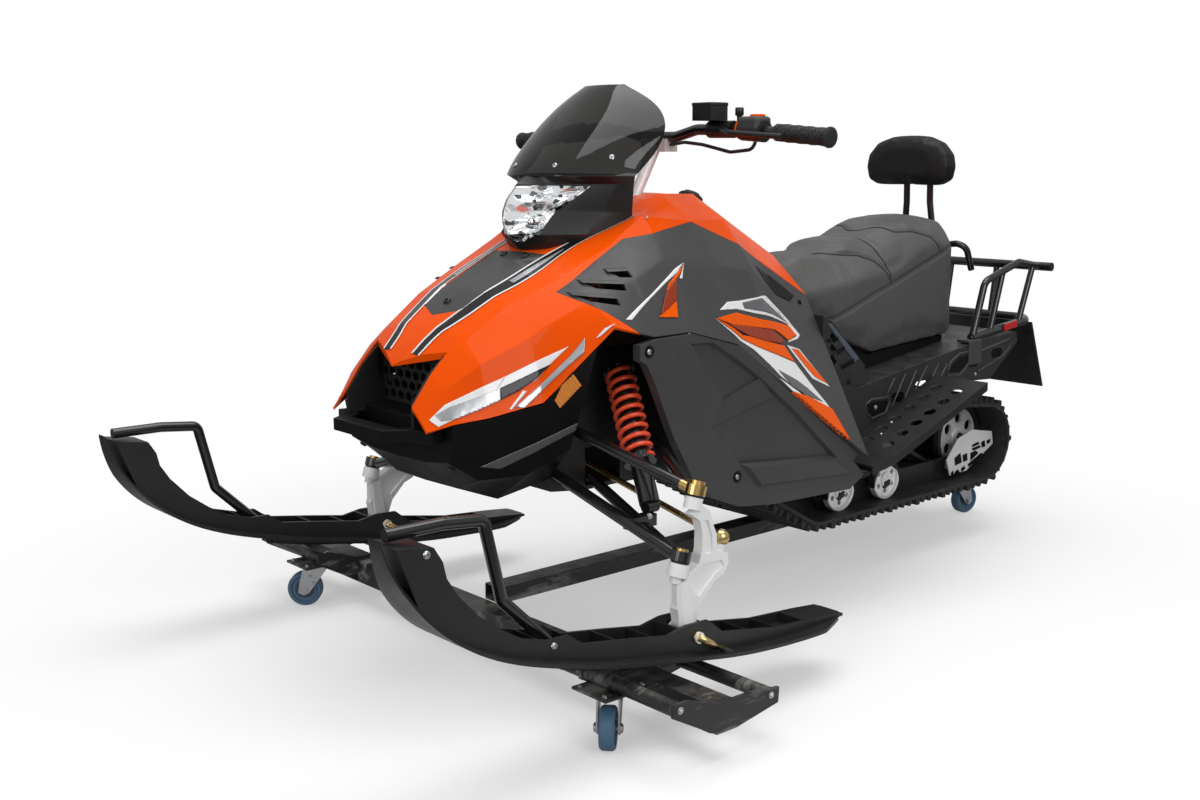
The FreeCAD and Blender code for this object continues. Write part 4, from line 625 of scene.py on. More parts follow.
def ribbon_piece(name, cover, layer, rows, across=8):
    """Long stripes on both sides of the hood, each between two edges given as lists of (x, y, z)."""
    tree = tree_of(NODES["hood"])
    bm = bmesh.new()
    for sign in (1, -1):
        for edges in rows:
            lines = []
            for a, b in zip(*(spline(on_side(edge, sign)) for edge in edges)):
                line = []
                for i in range(across + 1):
                    hit, normal, _, _ = tree.find_nearest(a.lerp(b, i / across))
                    line.append(bm.verts.new(hit + normal * VINYL_LIFT * layer))
                lines.append(line)
            skin(bm, lines, around=False, caps=False)
    laid(name, bm, cover)


STRIPE_INNER = [(37, -745, 619), (41, -722, 641), (49, -701, 661), (60, -654, 692), (69, -612, 717),
    (76, -567, 740), (80, -514, 765), (85, -448, 794), (97, -385, 820), (129, -335, 844), (158, -312, 855)]
STRIPE_OUTER = [(58, -746, 618), (66, -713, 649), (78, -684, 669), (89, -648, 690), (101, -596, 720),
    (109, -562, 735), (113, -529, 750), (113, -495, 766), (110, -450, 789), (116, -395, 814),
    (158, -312, 855)]


def shifted(edge, amount):
    """An edge moved outwards across the hood, in millimetres, and narrowing to nothing at its rear end."""
    last = len(edge) - 1
    return [(x + amount * (1 - (i / last) ** 3), y, z) for i, (x, y, z) in enumerate(edge)]


ribbon_piece("hood_black", "vinyl_black", 1, [(STRIPE_INNER, STRIPE_OUTER)])
ribbon_piece("hood_white", "vinyl_white", 2, [
    (shifted(STRIPE_INNER, -4), shifted(STRIPE_INNER, 1)),
    (shifted(STRIPE_OUTER, -3), shifted(STRIPE_OUTER, 1.5)),
], across=4)
ribbon_piece("hood_silver", "vinyl_silver", 2, [
    ([(84, -560, 741), (88, -520, 760), (92, -480, 778), (98, -440, 797)],
     [(97, -560, 738), (101, -520, 757), (101, -480, 776), (99, -440, 797)]),
])
vinyl_piece("hood_ticks", "vinyl_white", "hood", 2, [
    [(287, -524, 652), (293, -519, 655), (304, -493, 675), (294, -510, 668)],
    [(217, -667, 532), (219, -662, 532), (223, -632, 561), (221, -638, 563)],
])
vinyl_piece("wing_white", "vinyl_white", "hood", 1, [
    [(252, -558, 637), (239, -583, 612), (227, -612, 580), (200, -701, 543), (203, -662, 589)],
    [(203, -662, 589), (200, -701, 543), (166, -782, 508), (150, -790, 519), (160, -764, 544)],
])
vinyl_piece("wing_black", "vinyl_black", "hood", 2, [
    [(238, -587, 607), (211, -650, 579), (203, -674, 570), (208, -678, 549), (218, -643, 564),
     (227, -610, 583)],
])
vinyl_piece("wing_silver", "vinyl_silver", "hood", 2, [
    [(203, -674, 570), (185, -721, 554), (168, -756, 542), (155, -780, 527), (166, -775, 518),
     (179, -757, 520), (194, -719, 533), (208, -678, 549)],
    [(221, -656, 536), (228, -641, 533), (241, -596, 572), (263, -563, 607), (277, -543, 627),
     (270, -535, 652), (259, -559, 622), (237, -598, 581)],
])


# Turned parts and bolts


def ring(bm, centre, across, up, radius, sides):
    return [
        bm.verts.new(centre + across * (radius * math.cos(2 * math.pi * i / sides))
                     + up * (radius * math.sin(2 * math.pi * i / sides)))
        for i in range(sides)
    ]


def lathe(bm, place, way, profile, sides):
    """Turns (radius, height) pairs round way, and closes both ends."""
    way = way.normalized()
    across = way.orthogonal().normalized()
    up = way.cross(across)
    skin(bm, [ring(bm, place + way * height, across, up, radius, sides) for radius, height in profile])


def turned(name, cover, body, turns):
    """One piece out of turned forms, each a place, a way, a profile and a number of sides."""
    bm = bmesh.new()
    for turn in turns:
        lathe(bm, *turn)
    piece(name, bm, cover, body, True)


def hex_bolt(bm, place, way, size):
    """Washer, six sided head with a chamfered top."""
    lathe(bm, place, way, [(size * 0.95, -0.0006), (size * 0.95, 0.0012), (size * 0.9, 0.0016)], 20)
    lathe(bm, place, way, [(size * 0.62, 0.0012), (size * 0.62, size * 0.55), (size * 0.5, size * 0.66)], 6)


def round_bolt(bm, place, way, size):
    """Button head with a sunk round socket."""
    lathe(bm, place, way, [
        (size, -0.0006), (size, size * 0.22), (size * 0.86, size * 0.46), (size * 0.55, size * 0.6),
        (size * 0.42, size * 0.6), (size * 0.38, size * 0.3),
    ], 18)


def sunk_bolt(bm, place, way, size):
    """Bolt head that sits in a moulded seat with a raised rim."""
    lathe(bm, place, way, [
        (size * 1.55, -0.0015), (size * 1.55, 0.0004), (size * 1.42, 0.0012), (size * 1.24, 0.0010),
        (size * 1.16, -0.0012), (size * 0.9, -0.0012), (size * 0.88, 0.0008), (size * 0.7, 0.0016),
        (size * 0.36, 0.0016), (size * 0.3, 0.0004),
    ], 24)


def bolts(name, make, cover, body, rows, sides=(1, -1)):
    """rows are (x, y, z, way, size in mm), given for the left."""
    bm = bmesh.new()
    for x, y, z, way, size in rows:
        for sign in sides:
            make(bm, mm(sign * x, y, z), Vector((sign * way[0], way[1], way[2])), size * MM)
    piece(name, bm, cover, body)


def tube(bm, points, radius, sides=8, closed=False):
    """A round tube along points, with its own smooth frame."""
    rings = []
    count = len(points)
    side = None
    for i, p in enumerate(points):
        before = points[(i - 1) % count] if closed or i else points[0]
        after = points[(i + 1) % count] if closed or i < count - 1 else points[-1]
        way = (after - before).normalized()
        if side is None:
            side = way.orthogonal().normalized()
        side = (side - way * side.dot(way)).normalized()
        rings.append(ring(bm, p, side, way.cross(side), radius, sides))
    if closed:
        rings.append(rings[0])
    skin(bm, rings, caps=not closed)


def seated(label, size, *places):
    """Rows for bolts, each moved to the nearest place on the node and turned to its surface there."""
    tree = tree_of(NODES[label])
    rows = []
    for place in places:
        hit, normal, _, _ = tree.find_nearest(mm(*place))
        rows.append((*(hit / MM), tuple(normal), size))
    return rows


OUT = (1, 0, 0)
UP = (0, 0, 1)
FLAP_WAY = (0, -0.93, -0.36)
PANEL_SEATS = (314, -424, 621), (314, -188, 352)
for name, make, cover, slot, rows in (
    ("insert_clips", round_bolt, "bolt_black", "dark_panel", seated("hood_insert", 8, (34, -482, 781))),
    ("insert_front_clip", round_bolt, "bolt_black", "dark_panel",
     seated("hood_insert", 8, (0.2, -641.1, 703.6))),
    ("screen_bolts", round_bolt, "bolt_steel", "smoke_screen",
     seated("windscreen", 5.5, (61.2, -429.3, 951.1), (143.1, -358.1, 966.2))),
    ("cowl_screws", round_bolt, "bolt_steel", "orange_gloss",
     seated("tank_cowl", 4.0, (176.6, -302.1, 852.6))),
    ("panel_seats", sunk_bolt, "belly_plastic", "black_plastic",
     seated("lower_side_panels", 8.5, *PANEL_SEATS)),
    ("panel_bolts", round_bolt, "bolt_steel", "black_plastic",
     seated("lower_side_panels", 5.5, *PANEL_SEATS)),
    ("side_plugs", round_bolt, "belly_plastic", "dark_panel",
     seated("upper_side_panels", 6.0, (172.4, 154.3, 656.8))),
    ("knee_bolts", hex_bolt, "bolt_black", "black_plastic", [(202, 294.4, 473.2, OUT, 8.0)]),
    ("tunnel_bolts", hex_bolt, "bolt_steel", "frame_paint",
     [(205, 779.5, 436.2, OUT, 5.0), (205, 388, 402, OUT, 6.5)]),
    ("board_bolts", round_bolt, "bolt_steel", "black_plastic",
     seated("running_boards", 3.6, (207, 554, 399), (250, 389, 375), (261, 338, 356), (253, 279, 336))),
    ("flap_bolts", hex_bolt, "bolt_black", "flap_rubber",
     [(174.1, 1055.4, 510.3, FLAP_WAY, 7.0), (135, 1067.8, 477.9, FLAP_WAY, 7.0)]),
    ("belly_bolts", round_bolt, "bolt_black", "black_plastic",
     seated("belly_pan", 7.0, (146.4, -742.4, 424.8))),
    ("shock_bolts", hex_bolt, "bolt_steel", "gloss_tube", [(373, -474, 335.6, (0.6, -0.75, 0.2), 6.0)]),
    ("cradle_bolts", hex_bolt, "bolt_steel", "dolly_paint",
     [(661, -678.1, 115.7, OUT, 6.5), (661, -465.9, 84, OUT, 6.5)]),
    ("plate_bolts", hex_bolt, "bolt_steel", "dolly_paint",
     [(x, y, 100.4, UP, 6.0) for x, y in ((454, -706), (514, -706), (454, -630), (514, -622))]),
):
    bolts(name, make, cover, "chassis", rows, (1,) if name == "insert_front_clip" else (1, -1))

BOOT = [(0.0135, 0.0085), (0.0175, 0.0105), (0.0135, 0.0125)]
TIE_END = [
    (0.0115, -0.011), (0.0145, -0.007), (0.0155, 0.0), (0.0145, 0.006), (0.0105, 0.011), (0.005, 0.0135),
]
PIN_WAY = Vector((0.006, 0.088, -0.0525)).normalized()
PIN_LENGTH = 0.06
for side, sign in (("left", 1), ("right", -1)):
    ski = f"ski_{side}"
    bolts(f"ski_bolts_{side}", round_bolt, "bolt_steel", ski,
          [(525, -1053.8, 413.1, OUT, 6.5), (525, -821.6, 219.1, OUT, 6.5)], sides=(sign,))
    turned(f"joint_boots_{side}", "grip_rubber", ski, [
        (Vector((sign * x, y, z)), -STACK, BOOT, 24) for x, y, z in (UPPER_JOINT, LOWER_JOINT)
    ])
    turned(f"tie_end_{side}", "plated_steel", f"tie_rod_{side}", [
        (mm(490 * sign, -412, 310), STACK, TIE_END, 28),
    ])
    foot = mm(490 * sign + 36, -503, 157)
    pin = foot + Vector((0.007, 0, 0))
    turned(f"pivot_pin_{side}", "plated_steel", ski, [
        (foot - Vector((0.002, 0, 0)), Vector(OUT), [(0.011, 0), (0.011, 0.004), (0.008, 0.005)], 24),
        (pin, PIN_WAY, [(0.0065, -0.006), (0.0065, 0.03), (0.0045, 0.034), (0.0045, PIN_LENGTH)], 14),
    ])
    turned(f"pin_tip_{side}", "grip_rubber", ski, [
        (pin + PIN_WAY * PIN_LENGTH, PIN_WAY, [(0.0055, 0), (0.0055, 0.03), (0.0035, 0.034)], 14),
    ])


# Sunk details and openings drawn as thin dark patches of painted shade, and raised lines, those on the tunnel
# lighter than its paint as painted highlight

# Painted shade: the plate's open slots are dark patches laid on it, not holes cut through.
vinyl_piece("plate_slot_shade", "belly_plastic", "idler_plates", 1, upright(150, [
    [(787, 215), (812, 225), (820, 199), (791, 195)],
    [(822, 218), (842, 220), (844, 201), (826, 199)],
    [(856, 218), (880, 221), (892, 213), (858, 197)],
    [(861, 238), (890, 243), (894, 236), (864, 232)],
    [(861, 229), (897, 233), (900, 226), (868, 222)],
    [(928, 241), (944, 243), (942, 233), (927, 231)],
    [(772, 177), (783, 184), (788, 173), (779, 172)],
    [(790, 178), (803, 184), (814, 174), (793, 172)],
    [(818, 184), (832, 189), (836, 180), (820, 174)],
    [(902, 239), (917, 243), (922, 226), (906, 225)],
    [(846, 190), (905, 212), (912, 205), (852, 182)],
]))
# Painted shade: the vents' dark openings are patches laid on the knee panel.
vinyl_piece("knee_vent_shade", "belly_plastic", "knee_panels", 1, upright(202, [
    [(213, 574), (254, 577), (252, 567), (218, 566)],
    [(234, 543), (275, 555), (274, 544), (238, 532)],
    [(263, 512), (310, 524), (309, 512), (268, 502)],
]))
# Painted shade: the tunnel's slots are dark patches laid on it.
vinyl_piece("tunnel_slot_shade", "belly_plastic", "tunnel", 1, upright(205, [
    [(357, 412), (372, 417), (428, 416), (433, 408), (422, 389), (378, 383), (363, 393)],
    [(668, 452), (680, 470), (712, 486), (742, 488), (748, 478), (734, 462), (712, 450)],
]))
vinyl_piece("knee_trim", "trim_blue", "knee_panels", 1, upright(202, [
    [(212, 610), (228, 606), (326, 520), (312, 514)],
]))
# Painted shade: the sunk latch pocket is a dark patch laid on the side panel.
vinyl_piece("latch_pocket_shade", "belly_plastic", "upper_side_panels", 1, [
    [(191.5, -7.5, 745.4), (164.9, 64.6, 719.5), (168.3, 140.7, 671), (186.5, 106.8, 663.2),
     (201.9, 41.2, 686.4), (203.5, 9.1, 714.1)],
])
vinyl_piece("belly_strips", "vinyl_grey", "belly_pan", 1, [
    [(176.3, -701.9, 427.6), (235.7, -526.6, 492.4), (236, -520, 480), (183.3, -662.9, 419.3)],
])


def line_piece(name, cover, radius, rows, closed=False):
    """Raised lines: round tubes along (x, y, z) corners on both sides."""
    bm = bmesh.new()
    for sign in (1, -1):
        for row in rows:
            tube(bm, on_side(row, sign), radius * MM, closed=closed)
    piece(name, bm, cover, "chassis", True)


# Painted highlight: the ribs take the lighter satin panel colour, not the tunnel's own paint, so they show as
# light lines.
line_piece("tunnel_ribs_highlit", "satin_panel", 2.2, upright(205, [
    [(456, 463), (426, 423)], [(497, 469), (436, 376)], [(538, 472), (473, 374)], [(580, 478), (510, 393)],
    [(624, 478), (572, 406)], [(659, 475), (619, 421)],
]))
# Painted highlight: the raised rims round the tunnel's pockets take the lighter satin panel colour, not the
# tunnel's own paint.
line_piece("tunnel_pocket_rims_highlit", "satin_panel", 2.5, upright(205, [
    [(660, 446), (672, 476), (708, 494), (748, 496), (756, 478), (738, 456), (712, 442)],
    [(352, 414), (372, 422), (432, 421), (438, 407), (425, 385), (376, 378), (358, 393)],
    [(785, 490), (927, 511), (923, 487), (894, 469), (788, 442)],
]), closed=True)
MARKER = [(242.9, -592.7, 554.3), (267.6, -562.3, 591.8), (267.6, -543.3, 569), (242.2, -573.5, 527)]
LENS_BARS = 9


def marker_lens():
    """Ribbed amber lens on each side."""
    bm = bmesh.new()
    for sign in (1, -1):
        corners = on_side(MARKER, sign)
        along = (corners[1] - corners[0]).normalized()
        out = (corners[1] - corners[0]).cross(corners[3] - corners[0]).normalized()
        if out.x * sign < 0:
            out = -out
        for i in range(LENS_BARS):
            low, high = (i + 0.02) / LENS_BARS, (i + 0.98) / LENS_BARS
            foot = [corners[0].lerp(corners[1], low), corners[0].lerp(corners[1], high),
                    corners[3].lerp(corners[2], high), corners[3].lerp(corners[2], low)]
            middle = sum(foot, Vector()) / 4
            skin(bm, [
                [bm.verts.new(p + along * ((middle - p).dot(along) * (1 - share)) + out * lift) for p in foot]
                for lift, share in ((-0.004, 1.0), (0.0024, 1.0), (0.0034, 0.8))
            ])
        bm.faces.new([bm.verts.new(p + out * 0.001) for p in corners])
    bmesh.ops.recalc_face_normals(bm, faces=bm.faces[:])
    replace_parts(piece("marker_lens", bm, "amber_lens", "chassis"), "marker_lamps")


marker_lens()
line_piece("marker_frames", "belly_plastic", 3.5, [MARKER], closed=True)


def blocks(name, cover, body, rows):
    """Boxes with rounded edges, each between two corners and with a bevel, in millimetres."""
    bm = bmesh.new()
    for low, high, bevel in rows:
        made = bmesh.ops.create_cube(bm, size=1.0)
        middle = (mm(*low) + mm(*high)) / 2
        spread = mm(*high) - mm(*low)
        for vert in made["verts"]:
            vert.co = Vector(vert.co[i] * spread[i] for i in range(3)) + middle
        edges = {edge for vert in made["verts"] for edge in vert.link_edges}
        bmesh.ops.bevel(bm, geom=list(edges), offset=bevel * MM, segments=3, profile=0.5, affect="EDGES")
    piece(name, bm, cover, body)


blocks("rack_brackets", "satin_panel", "chassis", [
    ((sign * x - half, 744, low), (sign * x + half, 796, high), bevel)
    for x, half, low, high, bevel in ((207, 2.5, 462, 520, 1.8), (190, 19, 515, 523, 2.5)) for sign in (1, -1)
])
for name, cover, low, high, bevel in (
    ("reservoir_lid", "black_plastic", (146.5, -151.5, 1064), (201.5, -102.5, 1071), 2.2),
    ("switch_body", "satin_panel", (240, -123, 1013), (296, -80, 1043), 8),
    ("switch_button", "vinyl_orange", (266, -113, 1041), (290, -92, 1047), 2.5),
):
    blocks(name, cover, "steering", [(low, high, bevel)])
turned("choke_knob", "black_plastic", "steering", [(
    mm(226, -98, 1030), Vector(UP),
    [(0.005, 0), (0.005, 0.014), (0.0085, 0.016), (0.0085, 0.029), (0.007, 0.031)], 18,
)])
turned("warning_ring", "vinyl_orange", "steering", [(
    mm(234.5, -101, 1019.5), Vector((1, 0, -0.082)),
    [(0.0125, 0), (0.0205, 0.0004), (0.0205, 0.0034), (0.0125, 0.0038)], 28,
)])

GRIP_LINE = (329, -101, 1011.6), (455, -101, 1001.3)
GRIP_RADIUS = 16.5
GRIP_FLANGE = [(0.0155, -0.004), (0.0192, -0.003), (0.0198, 0), (0.0192, 0.003), (0.012, 0.0038)]
RIDGE_STEPS = 60
RIDGE_TURNS = 1.35


def grip_ridges():
    """Crossed ridges round each grip, and the flange at its end."""
    bm = bmesh.new()
    for sign in (1, -1):
        start, end = on_side(GRIP_LINE, sign)
        way = (end - start).normalized()
        side = way.orthogonal().normalized()
        up = way.cross(side)
        for hand in (1, -1):
            for first in range(3):
                points = []
                for i in range(RIDGE_STEPS + 1):
                    angle = hand * 2 * math.pi * i / RIDGE_STEPS * RIDGE_TURNS + first * 2 * math.pi / 3
                    centre = start.lerp(end, 0.04 + 0.92 * i / RIDGE_STEPS)
                    points.append(centre + (side * math.cos(angle) + up * math.sin(angle)) * GRIP_RADIUS * MM)
                tube(bm, points, 0.0009, 5)
        lathe(bm, end, way, GRIP_FLANGE, 32)
    piece("grip_ridges", bm, "grip_rubber", "steering", True)


grip_ridges()


# Track tread: closer lugs between the CAD lugs

# y, z and radius of the belt's outer face at the toe, the idler and the sprocket
BELT_CIRCLES = [(225, 212, 60), (872, 250, 98), (20, 360, 88)]
HULL_STEPS = 1440
PATH_STEP = 2.0
LUG_SECTION = [(-12, -2), (12, -2), (3, 17), (-3, 17)]
LUGS_BETWEEN = 3
# A belt point counts as under a CAD lug where the rubber stands higher than this
RAISED = 12
# Where to feel for the CAD lugs across the belt, and the spans that their lugs fill on one side
LUG_ROWS = (148, ((121, 180), (66, 118))), (0, ((-58, 58),))


def belt_path():
    """Places along the belt's outer face, each with its direction and its way out."""
    hull = []
    for i in range(HULL_STEPS):
        angle = 2 * math.pi * i / HULL_STEPS
        way = Vector((0, math.cos(angle), math.sin(angle)))
        y, z, radius = max(BELT_CIRCLES, key=lambda c: c[0] * way.y + c[1] * way.z + c[2])
        hull.append(Vector((0, y, z)) + way * radius)
    hull.append(hull[0])
    path = []
    left = 0.0
    for a, b in zip(hull, hull[1:]):
        length = (b - a).length
        if length < 1e-6:
            continue
        along = (b - a) / length
        while left < length:
            path.append((a + along * left, along, Vector((0, along.z, -along.y))))
            left += PATH_STEP
        left -= length
    return path


def lug_middles(path, tree, probe):
    """Steps of the path at which a CAD lug has its middle, on the row that passes the probe."""
    raised = []
    for here, _, out in path:
        hit, _, _, _ = tree.ray_cast((here + out * 40 + Vector((probe, 0, 0))) * MM, -out)
        raised.append(hit is not None and (hit / MM - here).dot(out) > RAISED)
    middles = []
    run = []
    for i in range(len(path) * 2):
        if raised[i % len(path)]:
            run.append(i)
        elif run:
            if 0 < run[0] < len(path):
                middles.append(sum(run) / len(run))
            run = []
    return middles


def track_lugs():
    tree = tree_of(NODES["track"])
    path = belt_path()
    count = len(path)
    bm = bmesh.new()
    for probe, spans in LUG_ROWS:
        middles = lug_middles(path, tree, probe)
        for a, b in zip(middles, middles[1:] + [middles[0] + count]):
            for k in range(1, LUGS_BETWEEN + 1):
                here, along, out = path[round(a + (b - a) * k / (LUGS_BETWEEN + 1)) % count]
                for span in spans:
                    for sign in (1, -1) if probe else (1,):
                        skin(bm, [
                            [bm.verts.new((here + along * u + out * v + Vector((sign * x, 0, 0))) * MM)
                             for u, v in LUG_SECTION]
                            for x in span
                        ])
    bmesh.ops.recalc_face_normals(bm, faces=bm.faces[:])
    piece("track_lugs", bm, "track_rubber", "chassis")


track_lugs()


# Padded parts

CLOTH_FRAMES = 20
PRESSURE = 4.0
STIFFNESS = 12.0
MOST_MOVED = 0.006


def solid_copy(node, name):
    """A welded copy of the CAD solid."""
    mesh = NODES[node].data.copy()
    mesh.name = name
    bm = bmesh.new()
    bm.from_mesh(mesh)
    bmesh.ops.remove_doubles(bm, verts=bm.verts[:], dist=0.00002)
    bm.normal_update()
    bm.to_mesh(mesh)
    bm.free()
    return add_object(name, mesh)


def apply_modifiers(obj):
    graph = bpy.context.evaluated_depsgraph_get()
    graph.update()
    solid = bpy.data.meshes.new_from_object(obj.evaluated_get(graph))
    obj.modifiers.clear()
    obj.data = solid


def swell(obj):
    """Fills a closed form like foam under a cover, with pressure, no gravity and capped movement."""
    rest = [v.co.copy() for v in obj.data.vertices]
    cloth = obj.modifiers.new("cloth", "CLOTH")
    cloth.settings.use_pressure = True
    cloth.settings.uniform_pressure_force = PRESSURE
    cloth.settings.tension_stiffness = STIFFNESS
    cloth.settings.compression_stiffness = STIFFNESS
    cloth.settings.bending_stiffness = 2.0
    cloth.settings.effector_weights.gravity = 0.0
    cloth.point_cache.frame_start = 1
    cloth.point_cache.frame_end = CLOTH_FRAMES
    for step in range(1, CLOTH_FRAMES + 1):
        bpy.context.scene.frame_set(step)
    apply_modifiers(obj)
    bpy.context.scene.frame_set(1)
    for vertex, start in zip(obj.data.vertices, rest):
        moved = vertex.co - start
        if moved.length > MOST_MOVED:
            vertex.co = start + moved.normalized() * MOST_MOVED


def padded_piece(node, name, cover, voxel, rounds):
    """Padded cover in the place of a CAD node, remeshed, swollen by pressure and smoothed in rounds."""
    made = solid_copy(node, name)
    modifier(made, "voxels", "REMESH", mode="VOXEL", voxel_size=voxel)
    apply_modifiers(made)
    swell(made)
    modifier(made, "relax", "SMOOTH", factor=0.5, iterations=rounds)
    apply_modifiers(made)
    modifier(made, "finer", "SUBSURF", levels=1, render_levels=1)
    apply_modifiers(made)
    made.data.materials.clear()
    made.data.materials.append(MATERIALS[cover])
    for face in made.data.polygons:
        face.use_smooth = True
    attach(made, "chassis")
    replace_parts(made, node)
    return made


# Seams as (x, y, z) on the left: the edge between the crown and the side, then the arcs over the humps
SEAT_SEAMS = [
    [(112, 262, 584), (124, 315, 599), (132, 373, 620), (135, 448, 647), (137, 522, 670), (136, 610, 699),
     (135, 715, 733), (132, 765, 748)],
    [(137, 522, 670), (136, 500, 701), (123, 469, 733), (106, 440, 743), (91, 399, 746), (55, 365, 745),
     (18, 326, 743), (0, 318, 742)],
    [(136, 522, 674), (123, 499, 741), (101, 496, 763), (58, 500, 770), (15, 492, 772), (0, 490, 772)],
    [(135, 712, 733), (129, 682, 772), (122, 657, 782), (116, 633, 790), (99, 581, 794), (45, 567, 793),
     (20, 547, 786), (0, 540, 784)],
]
SEAM_WIDTH = 0.009
SEAM_DEPTH = 0.0034
SEAM_STEP = 0.004


def seams_on(obj):
    """Both sides' seams as places and normals on the form."""
    tree = tree_of(obj)
    seams = []
    for row in SEAT_SEAMS:
        for sign in (1, -1):
            corners = on_side(row, sign)
            line = []
            for a, b in zip(corners, corners[1:]):
                count = max(1, int((b - a).length / SEAM_STEP))
                line += [a + (b - a) * (i / count) for i in range(count)]
            seams.append([tree.find_nearest(p)[:2] for p in [*line, corners[-1]]])
    return seams


def sink_seams(obj, seams):
    """Pulls the cover in along its seams."""
    points = [hit for seam in seams for hit, _ in seam]
    near = KDTree(len(points))
    for i, p in enumerate(points):
        near.insert(p, i)
    near.balance()
    outwards = [v.normal.copy() for v in obj.data.vertices]
    for vertex, way in zip(obj.data.vertices, outwards):
        _, _, distance = near.find(vertex.co)
        if distance < SEAM_WIDTH:
            fall = 1 - (distance / SEAM_WIDTH) ** 2
            vertex.co -= way * SEAM_DEPTH * fall * fall


def welt(seams):
    """Sewn edge along the seams, sunk a little into the cover."""
    bm = bmesh.new()
    for seam in seams:
        tube(bm, [hit - normal * 0.0018 for hit, normal in seam], 0.0015, 6)
    piece("seat_welt", bm, "seat_leather", "chassis", True)


seat = padded_piece("seat", "seat_cover", "seat_leather", 0.005, 9)
seat_seams = seams_on(seat)
sink_seams(seat, seat_seams)
welt(seat_seams)
padded_piece("backrest_pad", "backrest_cover", "pad_leather", 0.004, 3)


# Headlight: a clear lens over chrome bowls cut into facets

# Height, half width, y of the middle ridge, y of the side edge, as in the CAD solid
LAMP_LEVELS = [
    (806, 8, -484, -477), (822, 58, -508, -464), (845, 61, -515, -444), (864, 64, -515, -424),
    (888, 88, -505, -403), (914, 112, -481, -380),
]
LAMP_BOWLS = [
    # middle across and up, half width and half height, all as shares of the lamp, and depth in mm
    (0.47, 0.36, 0.46, 0.36, 27), (0.80, 0.84, 0.17, 0.14, 12), (0.32, 0.84, 0.26, 0.13, 9),
]
BOWL_FACETS = 14
BACK_DEPTH = 5.0

def lamp_front(across, up):
    """Point on the lamp's front, across from -1 to 1 and up from 0 to 1."""
    z = 806 + up * 108
    for (z_a, w_a, ridge_a, side_a), (z_b, w_b, ridge_b, side_b) in zip(LAMP_LEVELS, LAMP_LEVELS[1:]):
        if z <= z_b:
            break
    share = (z - z_a) / (z_b - z_a)
    width = w_a + (w_b - w_a) * share
    ridge = ridge_a + (ridge_b - ridge_a) * share
    side = side_a + (side_b - side_a) * share
    bow = 5 * math.sin(math.pi * abs(across)) * min(1.0, up * 4)
    return mm(across * width, ridge + (side - ridge) * abs(across) + 5.5 - bow, z)


def bowl_depth(across, up):
    deep = BACK_DEPTH
    for middle, height, half_width, half_height, depth in LAMP_BOWLS:
        a, b = (abs(across) - middle) / half_width, (up - height) / half_height
        reach = math.hypot(a, b)
        if reach < 1:
            turn = math.atan2(b, a) / (2 * math.pi) * BOWL_FACETS
            facet = 1 - 2 * abs(turn - math.floor(turn) - 0.5)
            deep = BACK_DEPTH + depth * (1 - reach ** 1.7) + 3.2 * facet * reach * (1 - reach) * 2
    return deep


def lamp_sheet(name, cover, columns, rows, depth, margin, smooth):
    """Sheet behind the lamp's front, by a depth in millimetres that may change over it."""
    bm = bmesh.new()
    inward = Vector((0, 1, 0.05)).normalized()
    grid = []
    for j in range(rows + 1):
        up = margin + (1 - 2 * margin) * j / rows
        line = []
        for i in range(columns + 1):
            across = (1 - margin) * (2 * i / columns - 1)
            line.append(bm.verts.new(lamp_front(across, up) + inward * depth(across, up) * MM))
        grid.append(line)
    skin(bm, grid, around=False, caps=False)
    bmesh.ops.recalc_face_normals(bm, faces=bm.faces[:])
    return piece(name, bm, cover, "chassis", smooth)


lens = lamp_sheet("headlight_lens", "lamp_clear", 36, 20, lambda across, up: 0.0, 0.0, True)
modifier(lens, "wall", "SOLIDIFY", thickness=0.002, offset=0)
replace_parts(lens, "headlight")
lamp_sheet("headlight_reflector", "chrome_facets", 64, 44, bowl_depth, 0.02, False)
BULB = [(0.012, -0.004), (0.012, 0.002), (0.0075, 0.003), (0.0072, 0.016), (0.005, 0.02), (0.001, 0.0215)]
turned("headlight_bulbs", "chrome", "chassis", [
    (lamp_front(sign * 0.47, 0.36) + Vector((0, 0.026, 0)), Vector((sign * 0.45, -0.9, 0)), BULB, 20)
    for sign in (1, -1)
])


# Floor, light and background

FLOOR_HALF = 40.0
FLOOR_TONE = 0.62
FLOOR_GLOW = 0.38
FADE_START = 0.9
FADE_END = 1.9
GLOSS_SHARE = 0.12
WORLD_LIGHT = 0.42


def seen_share(tree):
    """1 for a ray from the camera or through glass, which sees plain white, and less for one from a gloss."""
    rays = add_node(tree, "ShaderNodeLightPath").outputs
    gloss = calc(tree, "MULTIPLY", rays["Is Glossy Ray"], GLOSS_SHARE)
    shown = calc(tree, "MAXIMUM", rays["Is Camera Ray"], gloss)
    return calc(tree, "MAXIMUM", shown, rays["Is Transmission Ray"])


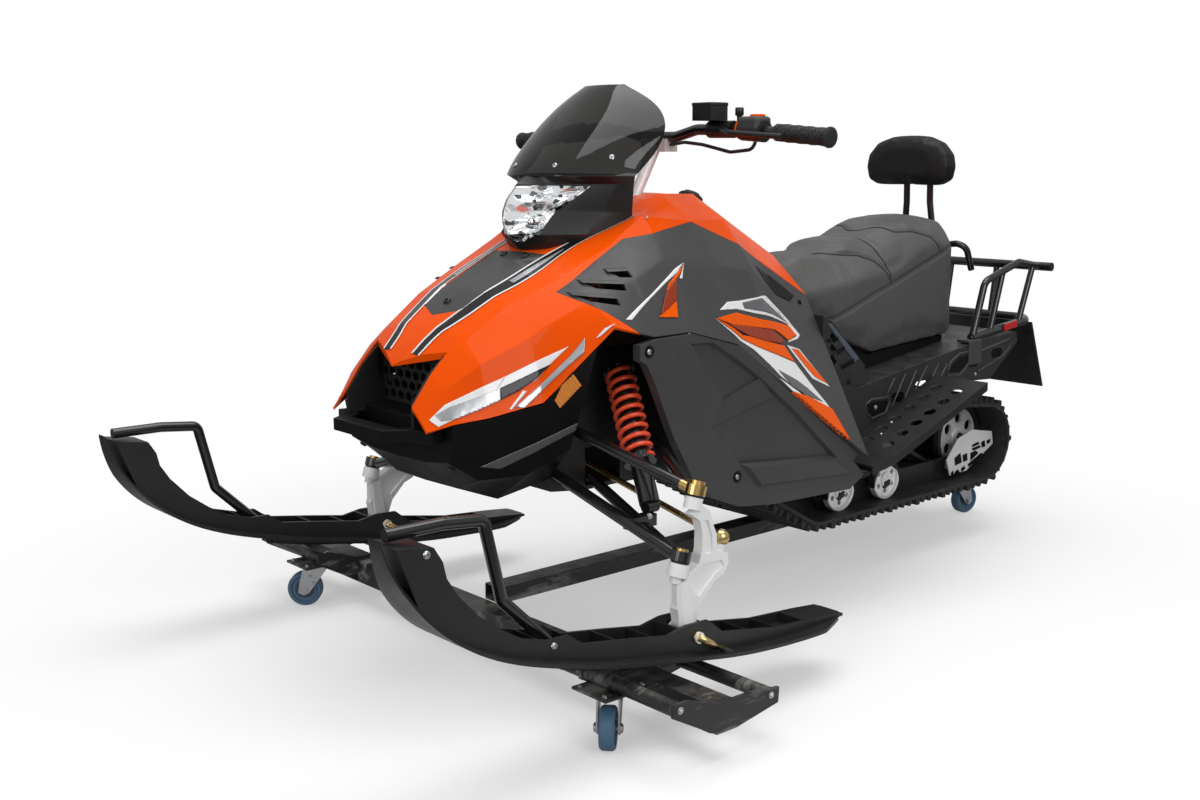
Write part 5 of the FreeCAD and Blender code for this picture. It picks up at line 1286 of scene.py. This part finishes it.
def stage_floor():
    """Pale floor that keeps the soft shadow and fades to plain white away from the object."""
    bm = bmesh.new()
    bm.faces.new([
        bm.verts.new((x * FLOOR_HALF, y * FLOOR_HALF, 0)) for x, y in ((-1, -1), (1, -1), (1, 1), (-1, 1))
    ])
    floor = add_object("floor", mesh_from("floor", bm))
    made = bpy.data.materials.new("floor")
    made.use_nodes = True
    tree = made.node_tree
    tree.nodes.clear()
    seen = seen_share(tree)
    matt = add_node(tree, "ShaderNodeBsdfDiffuse", {"Color": (FLOOR_TONE,) * 3})
    glow = add_node(tree, "ShaderNodeEmission", {"Strength": calc(tree, "MULTIPLY", seen, FLOOR_GLOW)})
    near = add_node(tree, "ShaderNodeAddShader", {0: matt.outputs[0], 1: glow.outputs[0]})
    white = add_node(tree, "ShaderNodeEmission", {"Strength": seen})
    where = add_node(tree, "ShaderNodeTexCoord").outputs["Object"]
    distance = add_node(tree, "ShaderNodeVectorMath", {0: where}, operation="LENGTH").outputs["Value"]
    fade = add_node(
        tree, "ShaderNodeMapRange", {"Value": distance, "From Min": FADE_START, "From Max": FADE_END},
        interpolation_type="SMOOTHSTEP",
    ).outputs["Result"]
    mixed = add_node(tree, "ShaderNodeMixShader", {0: fade, 1: near.outputs[0], 2: white.outputs[0]})
    add_node(tree, "ShaderNodeOutputMaterial", {"Surface": mixed.outputs[0]})
    floor.data.materials.append(made)
    floor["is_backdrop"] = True


stage_floor()


def softbox(name, place, target, width, height, power):
    data = bpy.data.lights.new(name, "AREA")
    data.shape = "RECTANGLE"
    data.size = width
    data.size_y = height
    data.energy = power
    lamp = add_object(name, data)
    lamp.location = place
    lamp.rotation_mode = "QUATERNION"
    lamp.rotation_quaternion = (Vector(target) - Vector(place)).to_track_quat("-Z", "Y")


softbox("top_light", (0.3, 0.2, 4.2), (0, 0, 0.5), 3.2, 3.6, 95)
softbox("left_light", (4.2, -1.0, 2.4), (0, 0, 0.5), 2.4, 2.0, 60)
softbox("front_light", (0.6, -4.6, 2.0), (0, 0, 0.5), 2.6, 1.8, 40)

world = bpy.data.worlds.new("studio")
bpy.context.scene.world = world
world.use_nodes = True
tree = world.node_tree
tree.nodes.clear()
soft, plain = (
    add_node(tree, "ShaderNodeBackground", {"Color": (1, 1, 1), "Strength": strength}).outputs[0]
    for strength in (WORLD_LIGHT, 1.0)
)
mixed = add_node(tree, "ShaderNodeMixShader", {0: seen_share(tree), 1: soft, 2: plain})
add_node(tree, "ShaderNodeOutputWorld", {"Surface": mixed.outputs[0]})

bpy.context.scene.view_settings.view_transform = "Standard"

low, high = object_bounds()
